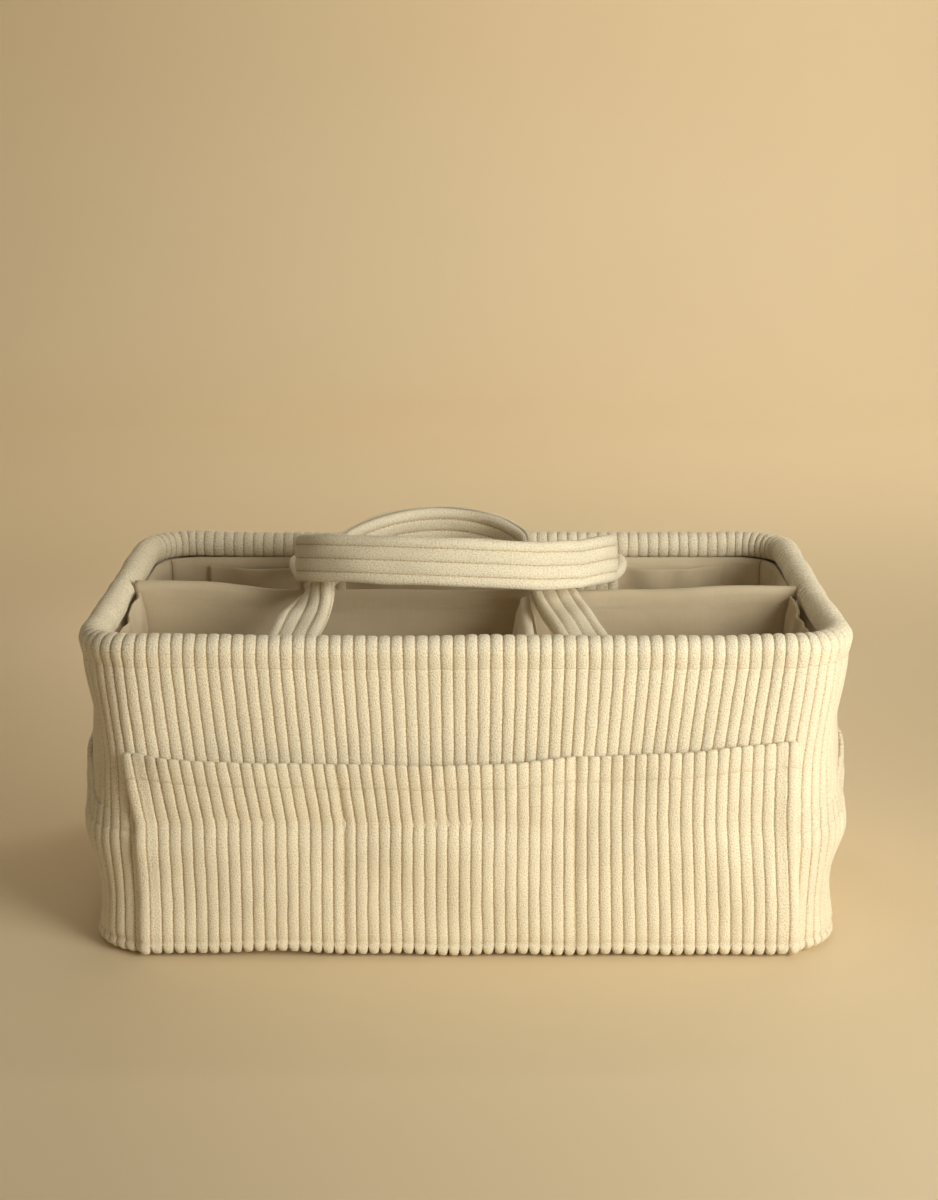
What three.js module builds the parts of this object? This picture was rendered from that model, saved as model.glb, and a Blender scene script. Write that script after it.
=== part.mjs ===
// A soft corduroy caddy: padded walls with a rolled rim, patch pockets outside, slip pockets inside,
// a long divider, a shorter cross divider that shifts sideways, and two carrying straps.
// Millimetres, +Z up, +X to the right and +Y to the back. The origin is on the floor, under the middle.
import * as THREE from "three";

// Overall size, measured on the outside of the rolled rim.
const RIM_LENGTH = 380;
const RIM_DEPTH = 240;
const RIM_HEIGHT = 165;
const CORNER_RADIUS = 35;

// Layers of the wall, from the outside in, with the clearance between two layers.
const GAP = 0.3;
const CORDUROY = 3;
const FOAM = 5;
const LINING = 1.2;
const BASE_BOARD = 2;

// The rolled rim stands proud of the wall, and its fold ends in a facing on the inside.
const RIM_ROLL = 14;
const WALL_INSET = 4;
const RIM_STITCH_DROP = 15;
const FACING_DROP = 14;
const BOTTOM_TURN = 6;
const BOTTOM_TUCK = 2.5;

// Patch pocket on the front. Two seams part it in three, and its upper edge sags between its ends.
const FRONT_POCKET_DEGREES = 12;
const FRONT_POCKET_TOP_LEFT = 108;
const FRONT_POCKET_TOP_SAG = 104;
const FRONT_POCKET_TOP_RIGHT = 114;
const FRONT_POCKET_SAG_X = -45;
const FRONT_POCKET_SEAMS = [-60, 56];
const FRONT_POCKET_GAPE = 6;
const FRONT_POCKET_SHOULDER = 12;
const POCKET_FOOT = 8;

// Pockets on the two ends, which reach round the corners to the front pocket's edges.
const END_POCKET_TOP = 83;
const END_POCKET_GAPE = 12;
const END_POCKET_SHOULDER = 55;
const END_POCKET_DEGREES = 73;

// Slip pockets in the lining: one in each end of the front half, and one along the back.
const SLIP_FOOT = 4;
const SLIP_DROP_FRONT = 24;
const SLIP_DROP_REAR = 16;
const SLIP_GAPE = 10;
const BACK_SLIP_DROP = 18;
const BACK_SLIP_GAPE = 7;
const BACK_SLIP_MARGIN = 6;
const BACK_SLIP_SHOULDER = 24;

// Long divider, across the middle from end to end: a board in a cloth sleeve.
const DIVIDER_BOARD = 2;
const DIVIDER_DROP = 6;

// Cross divider, from the long divider to the front wall: a soft pad, thin at its upper edge.
const CROSS_X = 32;
const CROSS_DROP = 7;
const CROSS_RIDGE = 5;
const CROSS_THICK = 13;
const CROSS_SHOULDER = 24;
const CROSS_FOOT = 9;

// Hook and loop tape that holds the dividers.
const TAPE = 1.5;
const TAPE_HEIGHT = 25;
const TAPE_Z = 60;
const TAPE_MARGIN = 10;
const CROSS_TAPE_WIDTH = 30;
const END_TAPE_WIDTH = 25;
const END_TAPE_HEIGHT = 90;

// Carrying straps. Each leaves the wall flat, turns on edge and goes round in a loop.
const STRAP_WIDTH = 25;
const STRAP_THICK = 7;
const STRAP_SKIN = 1.6;
const STRAP_EDGE = 2.5;
const STRAP_STANDOFF = 2.2;
const STRAP_DROP = 14;
const STRAP_TAB = 30;
const STRAP_TURN_START = 48;
const STRAP_TURN_END = 104;
const FRONT_STRAP = { shift: -13, spacing: 152, reach: 148, narrowing: 25, bow: 60, restDegrees: 12.5 };
const BACK_STRAP = { shift: -3, spacing: 158, reach: 168, narrowing: 0, bow: 50, restDegrees: 13.5 };

// Fineness of the round stretches.
const CORNER_STEPS = 6;
const ROLL_STEPS = 8;
const CORD_SIDES = 10;
const LEG_STEPS = 8;
const LOOP_STEPS = 6;
const STRAP_STEPS = 44;

// Places that follow from the sizes above. An offset is measured outwards from the rim's outside.
const HALF_LENGTH = RIM_LENGTH / 2;
const HALF_DEPTH = RIM_DEPTH / 2;
const CENTRE_X = HALF_LENGTH - CORNER_RADIUS;
const CENTRE_Y = HALF_DEPTH - CORNER_RADIUS;
const WALL_OUT = -WALL_INSET;
const WALL_IN = WALL_OUT - CORDUROY;
const FOAM_OUT = WALL_IN - GAP;
const FOAM_IN = FOAM_OUT - FOAM;
const LINING_OUT = FOAM_IN - GAP;
const LINING_IN = LINING_OUT - LINING;
const ROLL_OFFSET = -RIM_ROLL / 2;
const ROLL_Z = RIM_HEIGHT - RIM_ROLL / 2;
const STITCH_Z = RIM_HEIGHT - RIM_STITCH_DROP;
const FACING_Z = RIM_HEIGHT - FACING_DROP;
const WALL_BOTTOM = CORDUROY + GAP;
const WALL_TOP = Math.min(FACING_Z, STITCH_Z) - GAP;
const BOARD_TOP = WALL_BOTTOM + BASE_BOARD;
const FLOOR_Z = BOARD_TOP + GAP + LINING;
const DIVIDER_HALF = DIVIDER_BOARD / 2 + GAP + LINING;
const STRAP_OFFSET = RIM_ROLL + STRAP_STANDOFF + STRAP_THICK / 2;
const STRAP_Z = RIM_HEIGHT - STRAP_DROP;

// Finishes.
function finish(colour, roughness) {
  return new THREE.MeshStandardMaterial({ color: colour, roughness, metalness: 0 });
}
const corduroy = finish(0xecdcb8, 0.95);
const liningCloth = finish(0xd3c3ac, 0.85);
const foamWhite = finish(0xf1efe8, 0.9);
const boardGrey = finish(0xd9d6cd, 0.6);
const tapeBeige = finish(0xcdbfa6, 0.9);
const webbing = finish(0xe3dccb, 0.8);

const caddy = new THREE.Group();

function addPiece(name, geometry, material, parent = caddy) {
  const mesh = new THREE.Mesh(geometry, material);
  mesh.name = name;
  parent.add(mesh);
}

// A closed surface from points and triangles, with its faces turned outwards.
function closedSurface(points, triangles) {
  let sixVolumes = 0;
  for (const [a, b, c] of triangles) {
    sixVolumes += points[a].dot(new THREE.Vector3().crossVectors(points[b], points[c]));
  }
  const facing = sixVolumes < 0 ? turnedOver(triangles) : triangles;
  const geometry = new THREE.BufferGeometry();
  geometry.setFromPoints(points);
  geometry.setIndex(facing.flat());
  geometry.computeVertexNormals();
  return geometry;
}

// The band of triangles between two rings of points that start at the given places in a list.
function band(here, next, count) {
  return Array.from({ length: count }, (_, i) => {
    const j = (i + 1) % count;
    return [
      [here + i, next + i, next + j],
      [here + i, next + j, here + j],
    ];
  }).flat();
}

// The strip of triangles that closes a ring, whose first half of points faces its second half.
function cap(start, count) {
  return Array.from({ length: count / 2 - 1 }, (_, i) => {
    const a = start + i;
    const d = start + count - 1 - i;
    return [
      [a, a + 1, d - 1],
      [a, d - 1, d],
    ];
  }).flat();
}

function turnedOver(triangles) {
  return triangles.map(([a, b, c]) => [a, c, b]);
}

// Joins rings of points into a solid, which closes on itself or on its first and last rings.
function loft(rings, isLoop = false) {
  const count = rings[0].length;
  const last = (rings.length - 1) * count;
  const triangles = rings.slice(1).flatMap((_, r) => band(r * count, (r + 1) * count, count));
  if (isLoop) {
    triangles.push(...band(last, 0, count));
  } else {
    triangles.push(...cap(0, count), ...turnedOver(cap(last, count)));
  }
  return closedSurface(rings.flat(), triangles);
}

// A station is a place on the rim's outline: the point that its normal starts from, and the normal's angle.
function station(x, y, degrees) {
  return { x, y, angle: THREE.MathUtils.degToRad(degrees) };
}

function cornerStations(signX, signY, fromDegrees, toDegrees, steps = CORNER_STEPS) {
  const turn = toDegrees - fromDegrees;
  return Array.from({ length: steps + 1 }, (_, i) =>
    station(signX * CENTRE_X, signY * CENTRE_Y, fromDegrees + (turn * i) / steps),
  );
}

function pointAt(place, offset, z) {
  const reach = CORNER_RADIUS + offset;
  const x = place.x + reach * Math.cos(place.angle);
  const y = place.y + reach * Math.sin(place.angle);
  return new THREE.Vector3(x, y, z);
}

// Carries a section of [offset, z] points along stations of the outline.
function sweep(stations, sectionAt, isLoop = false) {
  const rings = stations.map((place) => sectionAt(place).map(([offset, z]) => pointAt(place, offset, z)));
  return loft(rings, isLoop);
}

// Points on an arc in a section, from one angle to another in degrees.
function sectionArc(offset, z, radius, fromDegrees, toDegrees, steps) {
  return Array.from({ length: steps + 1 }, (_, i) => {
    const a = THREE.MathUtils.degToRad(fromDegrees + ((toDegrees - fromDegrees) * i) / steps);
    return [offset + radius * Math.cos(a), z + radius * Math.sin(a)];
  });
}

// The outside cloth rises up the wall, rolls over the rim and comes down inside as a facing.
function wrapSection() {
  const underRoll = -25;
  const outerRoll = sectionArc(ROLL_OFFSET, ROLL_Z, RIM_ROLL / 2, underRoll, 180, ROLL_STEPS);
  const innerRoll = sectionArc(ROLL_OFFSET, ROLL_Z, RIM_ROLL / 2 - CORDUROY, 180, underRoll, ROLL_STEPS);
  return [
    [WALL_OUT - BOTTOM_TUCK, WALL_BOTTOM],
    [WALL_OUT, WALL_BOTTOM + BOTTOM_TURN],
    [WALL_OUT, STITCH_Z],
    ...outerRoll,
    [-RIM_ROLL, FACING_Z],
    [-RIM_ROLL + CORDUROY, FACING_Z],
    ...innerRoll,
    [WALL_IN, STITCH_Z],
    [WALL_IN, WALL_BOTTOM + BOTTOM_TURN],
    [WALL_IN, WALL_BOTTOM],
  ];
}

// Two wraps of outside cloth meet in a seam at the middle of each end.
function buildOutside() {
  for (const [name, sign] of [["outer_front_wrap", -1], ["outer_back_wrap", 1]]) {
    const seam = (sign * GAP) / 2;
    const stations = [
      station(-CENTRE_X, seam, 180 * sign),
      ...cornerStations(-1, sign, 180 * sign, 90 * sign),
      ...cornerStations(1, sign, 90 * sign, 0),
      station(CENTRE_X, seam, 0),
    ];
    addPiece(name, sweep(stations, wrapSection), corduroy);
  }
}

// One layer on each of the four sides, each reaching half of the way round its two corners.
function buildWallLayers() {
  const sides = {
    front: { from: [-1, -1], to: [1, -1], facing: -90 },
    right: { from: [1, -1], to: [1, 1], facing: 0 },
    back: { from: [1, 1], to: [-1, 1], facing: 90 },
    left: { from: [-1, 1], to: [-1, -1], facing: 180 },
  };
  const layers = [
    { part: "foam", outside: FOAM_OUT, inside: FOAM_IN, material: foamWhite },
    { part: "lining", outside: LINING_OUT, inside: LINING_IN, material: liningCloth },
  ];
  for (const [side, { from, to, facing }] of Object.entries(sides)) {
    for (const { part, outside, inside, material } of layers) {
      const half = 45 - THREE.MathUtils.radToDeg(GAP / 2 / (CORNER_RADIUS + inside));
      const stations = [
        ...cornerStations(...from, facing - half, facing, CORNER_STEPS / 2),
        ...cornerStations(...to, facing, facing + half, CORNER_STEPS / 2),
      ];
      const section = [
        [outside, WALL_BOTTOM],
        [outside, WALL_TOP],
        [inside, WALL_TOP],
        [inside, WALL_BOTTOM],
      ];
      addPiece(`${side}_${part}`, sweep(stations, () => section), material);
    }
  }
}

function buildRimCord() {
  const radius = RIM_ROLL / 2 - CORDUROY - GAP;
  const section = sectionArc(ROLL_OFFSET, ROLL_Z, radius, 0, 360 - 360 / CORD_SIDES, CORD_SIDES - 1);
  const around = [
    ...cornerStations(1, -1, -90, 0),
    ...cornerStations(1, 1, 0, 90),
    ...cornerStations(-1, 1, 90, 180),
    ...cornerStations(-1, -1, 180, 270),
  ];
  addPiece("rim_cord", sweep(around, () => section, true), foamWhite);
}

// A flat panel with the outline of the rim, drawn in by an offset.
function floorPanel(offset, bottom, thickness) {
  const radius = CORNER_RADIUS + offset;
  const shape = new THREE.Shape();
  shape.absarc(CENTRE_X, -CENTRE_Y, radius, -Math.PI / 2, 0);
  shape.absarc(CENTRE_X, CENTRE_Y, radius, 0, Math.PI / 2);
  shape.absarc(-CENTRE_X, CENTRE_Y, radius, Math.PI / 2, Math.PI);
  shape.absarc(-CENTRE_X, -CENTRE_Y, radius, Math.PI, 1.5 * Math.PI);
  const options = { depth: thickness, bevelEnabled: false, curveSegments: CORNER_STEPS };
  return new THREE.ExtrudeGeometry(shape, options).translate(0, 0, bottom);
}

function buildBase() {
  const inside = LINING_IN - GAP;
  addPiece("base_cover", floorPanel(WALL_OUT - BOTTOM_TUCK / 2, 0, CORDUROY), corduroy);
  addPiece("base_board", floorPanel(inside, WALL_BOTTOM, BASE_BOARD), boardGrey);
  addPiece("base_lining", floorPanel(inside, BOARD_TOP + GAP, LINING), liningCloth);
}

// The section of a pocket panel: it lies on its wall at the foot and gapes towards its upper edge.
// A direction of 1 is a pocket on the outside of the wall, and -1 one on the inside.
function pocketSection(wall, direction, thickness, foot, top, gape) {
  const fullGape = 0.65;
  const levels = [0, fullGape / 2, fullGape, 1];
  const edge = (depth) =>
    levels.map((share) => {
      const opening = gape * THREE.MathUtils.smoothstep(share, 0, fullGape);
      return [wall + direction * (GAP + opening + depth), THREE.MathUtils.lerp(foot, top, share)];
    });
  return [...edge(0), ...edge(thickness).reverse()];
}

// The share of its gape that a pocket has at a place: none on a seam, all of it a shoulder's width away.
function gapeShare(place, seams, shoulder, seamHalf = 0) {
  const nearest = Math.min(...seams.map((seam) => Math.abs(place - seam)));
  return THREE.MathUtils.clamp((nearest - seamHalf) / shoulder, 0, 1);
}

// A parabola through three points of the front pocket's upper edge.
function frontPocketTop(x) {
  const [x0, x1, x2] = [-CENTRE_X, FRONT_POCKET_SAG_X, CENTRE_X];
  const left = (FRONT_POCKET_TOP_LEFT * (x - x1) * (x - x2)) / ((x0 - x1) * (x0 - x2));
  const sag = (FRONT_POCKET_TOP_SAG * (x - x0) * (x - x2)) / ((x1 - x0) * (x1 - x2));
  const right = (FRONT_POCKET_TOP_RIGHT * (x - x0) * (x - x1)) / ((x2 - x0) * (x2 - x1));
  return left + sag + right;
}

function buildFrontPocket() {
  const seams = [-CENTRE_X, ...FRONT_POCKET_SEAMS, CENTRE_X];
  const places = seams.slice(1).flatMap((seam, i) => {
    const before = seams[i];
    return [before, before + FRONT_POCKET_SHOULDER, (before + seam) / 2, seam - FRONT_POCKET_SHOULDER];
  });
  const stations = [
    station(-CENTRE_X, -CENTRE_Y, -90 - FRONT_POCKET_DEGREES),
    ...places.map((x) => station(x, -CENTRE_Y, -90)),
    station(CENTRE_X, -CENTRE_Y, -90),
    station(CENTRE_X, -CENTRE_Y, -90 + FRONT_POCKET_DEGREES),
  ];
  const section = ({ x }) => {
    const gape = FRONT_POCKET_GAPE * gapeShare(x, seams, FRONT_POCKET_SHOULDER);
    return pocketSection(WALL_OUT, 1, CORDUROY, POCKET_FOOT, frontPocketTop(x), gape);
  };
  addPiece("front_pocket", sweep(stations, section), corduroy);
}

function buildEndPockets() {
  const places = [-1, 0, 1].map((sign) => sign * (CENTRE_Y - END_POCKET_SHOULDER));
  const section = ({ y }) => {
    const gape = END_POCKET_GAPE * gapeShare(y, [-CENTRE_Y, CENTRE_Y], END_POCKET_SHOULDER);
    return pocketSection(WALL_OUT, 1, CORDUROY, POCKET_FOOT, END_POCKET_TOP, gape);
  };
  for (const [name, sign, facing] of [["right_pocket", 1, 0], ["left_pocket", -1, 180]]) {
    const stations = [
      ...cornerStations(sign, -sign, facing - END_POCKET_DEGREES, facing),
      ...places.map((y) => station(sign * CENTRE_X, sign * y, facing)),
      ...cornerStations(sign, sign, facing, facing + END_POCKET_DEGREES),
    ];
    addPiece(name, sweep(stations, section), corduroy);
  }
}

function buildSlipPockets() {
  const foot = FLOOR_Z + SLIP_FOOT;
  const rear = -DIVIDER_HALF - GAP;
  const depth = CENTRE_Y + rear;
  const endSection = ({ y }) => {
    const share = (y + CENTRE_Y) / depth;
    const top = RIM_HEIGHT - THREE.MathUtils.lerp(SLIP_DROP_FRONT, SLIP_DROP_REAR, share);
    return pocketSection(LINING_IN, -1, LINING, foot, top, SLIP_GAPE * gapeShare(share, [0, 1], 0.5));
  };
  for (const [name, sign, facing] of [["right_slip_pocket", 1, 0], ["left_slip_pocket", -1, 180]]) {
    const stations = [0, 0.25, 0.5, 0.75, 1].map((share) =>
      station(sign * CENTRE_X, -CENTRE_Y + depth * share, facing),
    );
    addPiece(name, sweep(stations, endSection), liningCloth);
  }

  // The back pocket is sewn down under the strap's ends as well, which part it in three.
  const half = CENTRE_X - BACK_SLIP_MARGIN;
  const ends = [-1, 1].map((sign) => BACK_STRAP.shift + (sign * BACK_STRAP.spacing) / 2);
  const flat = STRAP_WIDTH / 2 + GAP;
  const places = ends.flatMap((x) => [
    x - flat - BACK_SLIP_SHOULDER,
    x - flat,
    x + flat,
    x + flat + BACK_SLIP_SHOULDER,
  ]);
  const backSection = ({ x }) => {
    const edges = gapeShare(x, [-half, half], BACK_SLIP_SHOULDER);
    const straps = gapeShare(x, ends, BACK_SLIP_SHOULDER, flat);
    const top = RIM_HEIGHT - BACK_SLIP_DROP;
    return pocketSection(LINING_IN, -1, LINING, foot, top, BACK_SLIP_GAPE * Math.min(edges, straps));
  };
  const stations = [-half, ...places, half].map((x) => station(x, CENTRE_Y, 90));
  addPiece("back_slip_pocket", sweep(stations, backSection), liningCloth);
}

// A box given by its lowest and highest corners.
function boxBetween([x0, y0, z0], [x1, y1, z1]) {
  const geometry = new THREE.BoxGeometry(x1 - x0, y1 - y0, z1 - z0);
  return geometry.translate((x0 + x1) / 2, (y0 + y1) / 2, (z0 + z1) / 2);
}

// The outline of a divider's sleeve or of what fills it, with a round upper edge.
function dividerOutline(halfTop, halfShoulder, halfFoot, top, shoulder, foot) {
  const round = sectionArc(0, top - halfTop, halfTop, 180, 0, LOOP_STEPS);
  return [[-halfFoot, foot], [-halfShoulder, shoulder], ...round, [halfShoulder, shoulder], [halfFoot, foot]];
}

// An upright outline, given across X, drawn out along -Y.
function drawnOut(outline, length) {
  const shape = new THREE.Shape(outline.map(([x, z]) => new THREE.Vector2(x, z)));
  return new THREE.ExtrudeGeometry(shape, { depth: length, bevelEnabled: false }).rotateX(Math.PI / 2);
}

// A sleeve of cloth, open below, and the filling inside it.
function sleeveAndFilling(outer, inner, filling, length, inset) {
  const cover = drawnOut([...outer, ...inner.toReversed()], length);
  const core = drawnOut(filling, length - 2 * inset).translate(0, -inset, 0);
  return [cover, core];
}

function buildLongDivider() {
  const end = HALF_LENGTH + LINING_IN - GAP;
  const top = RIM_HEIGHT - DIVIDER_DROP;
  const foot = FLOOR_Z + GAP;
  const outlineAt = (inset) => {
    const half = DIVIDER_HALF - inset;
    return dividerOutline(half, half, half, top - inset, top - DIVIDER_HALF, foot);
  };
  const parts = sleeveAndFilling(outlineAt(0), outlineAt(LINING), outlineAt(LINING + GAP), 2 * end, LINING);
  for (const geometry of parts) {
    geometry.rotateZ(Math.PI / 2).translate(-end, 0, 0);
  }
  addPiece("long_divider_cover", parts[0], liningCloth);
  addPiece("long_divider_board", parts[1], boardGrey);

  // Tape at both ends: the loop half on the wall, and the hook half on a tab of the divider.
  const y0 = DIVIDER_HALF + GAP;
  const y1 = y0 + END_TAPE_WIDTH;
  const z1 = TAPE_Z + END_TAPE_HEIGHT / 2;
  const z0 = TAPE_Z - END_TAPE_HEIGHT / 2;
  for (const [side, sign] of [["left", -1], ["right", 1]]) {
    for (const [part, step] of [["loop_patch", 0], ["hook_tab", TAPE + GAP]]) {
      const xs = [sign * (end - step), sign * (end - step - TAPE)].sort((a, b) => a - b);
      addPiece(`${side}_${part}`, boxBetween([xs[0], y0, z0], [xs[1], y1, z1]), tapeBeige);
    }
  }
}

// The cross divider shifts along two tapes, one on the front wall and one on the long divider.
function buildCrossDivider() {
  const z0 = TAPE_Z - TAPE_HEIGHT / 2;
  const z1 = TAPE_Z + TAPE_HEIGHT / 2;
  const loopHalf = CENTRE_X - TAPE_MARGIN;
  const front = -HALF_DEPTH - LINING_IN + GAP;
  const rear = -DIVIDER_HALF - GAP;
  const frontLoop = boxBetween([-loopHalf, front, z0], [loopHalf, front + TAPE, z1]);
  const rearLoop = boxBetween([-loopHalf, rear - TAPE, z0], [loopHalf, rear, z1]);
  addPiece("front_loop_strip", frontLoop, tapeBeige);
  addPiece("divider_loop_strip", rearLoop, tapeBeige);

  const slider = new THREE.Group();
  slider.position.x = CROSS_X;
  caddy.add(slider);
  const hookHalf = CROSS_TAPE_WIDTH / 2;
  const frontHook = front + TAPE + GAP;
  const rearHook = rear - TAPE - GAP;
  const frontTab = boxBetween([-hookHalf, frontHook, z0], [hookHalf, frontHook + TAPE, z1]);
  const rearTab = boxBetween([-hookHalf, rearHook - TAPE, z0], [hookHalf, rearHook, z1]);
  addPiece("cross_front_hook_tab", frontTab, tapeBeige, slider);
  addPiece("cross_rear_hook_tab", rearTab, tapeBeige, slider);

  const top = RIM_HEIGHT - CROSS_DROP;
  const foot = FLOOR_Z + GAP;
  const outlineAt = (inset) => {
    const halves = [CROSS_RIDGE, CROSS_THICK, CROSS_FOOT].map((width) => width / 2 - inset);
    return dividerOutline(...halves, top - inset, top - CROSS_SHOULDER, foot);
  };
  const start = frontHook + TAPE + GAP;
  const length = rearHook - TAPE - GAP - start;
  const parts = sleeveAndFilling(outlineAt(0), outlineAt(LINING), outlineAt(LINING + GAP), length, LINING);
  for (const geometry of parts) {
    geometry.translate(0, start + length, 0);
  }
  addPiece("cross_divider_cover", parts[0], liningCloth, slider);
  addPiece("cross_divider_pad", parts[1], foamWhite, slider);
}

// Half of a strap's path in its own plane, from the wall up to the middle of the loop.
function strapHalfPath({ spacing, reach, narrowing, bow }) {
  const half = spacing / 2;
  const legEnd = reach - bow;
  const leg = Array.from({ length: LEG_STEPS }, (_, i) => {
    const along = (legEnd * i) / LEG_STEPS;
    const drawnIn = narrowing * THREE.MathUtils.smoothstep(along, STRAP_WIDTH / 2, legEnd);
    return new THREE.Vector3(half - drawnIn, along, 0);
  });
  const arc = Array.from({ length: LOOP_STEPS + 1 }, (_, i) => {
    const a = ((Math.PI / 2) * i) / LOOP_STEPS;
    return new THREE.Vector3((half - narrowing) * Math.cos(a), legEnd + bow * Math.sin(a), 0);
  });
  return [...leg, ...arc];
}

function strapCurve(strap) {
  const right = strapHalfPath(strap);
  const left = right.map((p) => new THREE.Vector3(-p.x, p.y, 0));
  return new THREE.CatmullRomCurve3([...left, ...right.reverse()]);
}

// A strap's section, drawn in by an inset: across is its width and through its thickness.
function strapSection(inset) {
  const across = STRAP_WIDTH / 2 - inset;
  const through = STRAP_THICK / 2 - inset;
  const edge = Math.max(Math.min(STRAP_EDGE - inset, through), GAP);
  return [
    [across, -(through - edge)],
    [across, through - edge],
    [across - edge, through],
    [-(across - edge), through],
    [-across, through - edge],
    [-across, -(through - edge)],
    [-(across - edge), -through],
    [across - edge, -through],
  ].map(([a, t]) => new THREE.Vector2(a, t));
}

// Rings of a strap's section along its path. Flat at the wall, it turns on edge with its inner edge up.
function strapRings(curve, section) {
  const up = new THREE.Vector3(0, 0, 1);
  return Array.from({ length: STRAP_STEPS + 1 }, (_, i) => {
    const centre = curve.getPointAt(i / STRAP_STEPS);
    const along = curve.getTangentAt(i / STRAP_STEPS);
    const outward = new THREE.Vector3().crossVectors(up, along).normalize();
    const onEdge = THREE.MathUtils.smoothstep(centre.y, STRAP_TURN_START, STRAP_TURN_END);
    const turn = (Math.PI / 2) * (1 - onEdge);
    const across = up.clone().multiplyScalar(Math.cos(turn)).addScaledVector(outward, -Math.sin(turn));
    const through = new THREE.Vector3().crossVectors(along, across);
    return section.map(({ x, y }) => centre.clone().addScaledVector(across, x).addScaledVector(through, y));
  });
}

// A strap's skin is a tube of cloth, open at its two ends.
function strapSkin(curve) {
  const outer = strapRings(curve, strapSection(0));
  const inner = strapRings(curve, strapSection(STRAP_SKIN));
  const count = outer[0].length;
  const innerStart = outer.length * count;
  const last = (outer.length - 1) * count;
  const triangles = outer.slice(1).flatMap((_, r) => [
    ...band(r * count, (r + 1) * count, count),
    ...turnedOver(band(innerStart + r * count, innerStart + (r + 1) * count, count)),
  ]);
  triangles.push(...band(innerStart, 0, count), ...band(last, innerStart + last, count));
  return closedSurface([...outer.flat(), ...inner.flat()], triangles);
}

function strapFilling(curve) {
  return loft(strapRings(curve, strapSection(STRAP_SKIN + GAP)));
}

// Each strap swings on the line where its two ends leave the tabs that are sewn to the wall.
function buildStrap(name, strap, sign, tabBack) {
  const swing = new THREE.Group();
  swing.position.set(strap.shift, sign * (HALF_DEPTH - STRAP_OFFSET), STRAP_Z);
  swing.rotation.set(-sign * THREE.MathUtils.degToRad(strap.restDegrees), 0, sign > 0 ? Math.PI : 0);
  caddy.add(swing);
  const curve = strapCurve(strap);
  addPiece(`${name}_cover`, strapSkin(curve), corduroy, swing);
  addPiece(`${name}_core`, strapFilling(curve), webbing, swing);

  const tabTop = STRAP_Z - STRAP_THICK / 2 - GAP;
  const ys = [tabBack, sign * (HALF_DEPTH - STRAP_OFFSET - STRAP_THICK / 2)].sort((a, b) => a - b);
  for (const [side, hand] of [["left", -1], ["right", 1]]) {
    const x = strap.shift + (hand * strap.spacing) / 2;
    const lowest = [x - STRAP_WIDTH / 2, ys[0], tabTop - STRAP_TAB];
    const highest = [x + STRAP_WIDTH / 2, ys[1], tabTop];
    addPiece(`${name}_${side}_tab`, boxBetween(lowest, highest), corduroy);
  }
}

function buildStraps() {
  const wall = HALF_DEPTH + LINING_IN - GAP;
  buildStrap("front_handle", FRONT_STRAP, -1, -wall);
  buildStrap("back_handle", BACK_STRAP, 1, wall - LINING - GAP);
}

buildBase();
buildOutside();
buildWallLayers();
buildRimCord();
buildFrontPocket();
buildEndPockets();
buildSlipPockets();
buildLongDivider();
buildCrossDivider();
buildStraps();

export default caddy;
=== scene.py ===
"""Looks of a soft corduroy caddy: cloth with raised wales, hems, stitches, linings and two straps.

Lengths are millimetres until a mesh is made. The outline of the caddy is followed by one coordinate, the run:
zero at the middle of the front, growing to the right and on round the back. An offset is measured outwards from
the outside of the rim.
"""

import math

import bpy
import numpy as np
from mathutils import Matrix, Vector


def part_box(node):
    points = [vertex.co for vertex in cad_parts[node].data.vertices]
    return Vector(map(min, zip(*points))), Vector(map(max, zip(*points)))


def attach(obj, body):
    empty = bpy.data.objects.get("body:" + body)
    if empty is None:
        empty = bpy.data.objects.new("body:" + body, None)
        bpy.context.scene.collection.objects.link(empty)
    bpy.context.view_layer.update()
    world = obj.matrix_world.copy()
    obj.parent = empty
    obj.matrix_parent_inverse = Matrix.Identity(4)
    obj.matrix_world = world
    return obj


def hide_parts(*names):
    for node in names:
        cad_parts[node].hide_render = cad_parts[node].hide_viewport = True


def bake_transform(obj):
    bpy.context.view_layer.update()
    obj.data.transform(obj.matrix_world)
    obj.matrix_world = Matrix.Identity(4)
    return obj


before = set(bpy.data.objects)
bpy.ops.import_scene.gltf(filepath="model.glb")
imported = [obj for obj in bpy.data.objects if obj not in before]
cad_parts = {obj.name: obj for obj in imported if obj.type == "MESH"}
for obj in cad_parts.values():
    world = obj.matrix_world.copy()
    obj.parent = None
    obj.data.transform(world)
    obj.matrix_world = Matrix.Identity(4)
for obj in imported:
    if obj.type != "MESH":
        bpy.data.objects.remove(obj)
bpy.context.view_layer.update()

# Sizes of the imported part
CENTRE_X, CENTRE_Y, CORNER = 155.0, 85.0, 35.0
RIM_TOP, ROLL_OFFSET, ROLL_Z = 165.0, -7.0, 158.0
WALL_OUT, LINING_IN, LINING_OUT = -4.0, -13.8, -12.6
STITCH_Z, FLOOR_Z = 150.0, 6.8
WALL_RADIUS = CORNER + WALL_OUT
CORNER_RUN = WALL_RADIUS * math.pi / 2
END_RUN = CENTRE_X + CORNER_RUN + CENTRE_Y
BACK_RUN = 2 * END_RUN

# The corduroy, with the places across a wale that have vertices, and which of them is its crest
WALES_PER_WRAP = 102
PITCH = 2 * END_RUN / WALES_PER_WRAP
PILE, WALE_POWER = 1.0, 3.7
WALE_CUTS = np.array([0, 0.04, 0.1, 0.22, 0.5, 0.78, 0.9, 0.96])
CREST_CUT = 4


# Outline, noise and small curves

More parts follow.
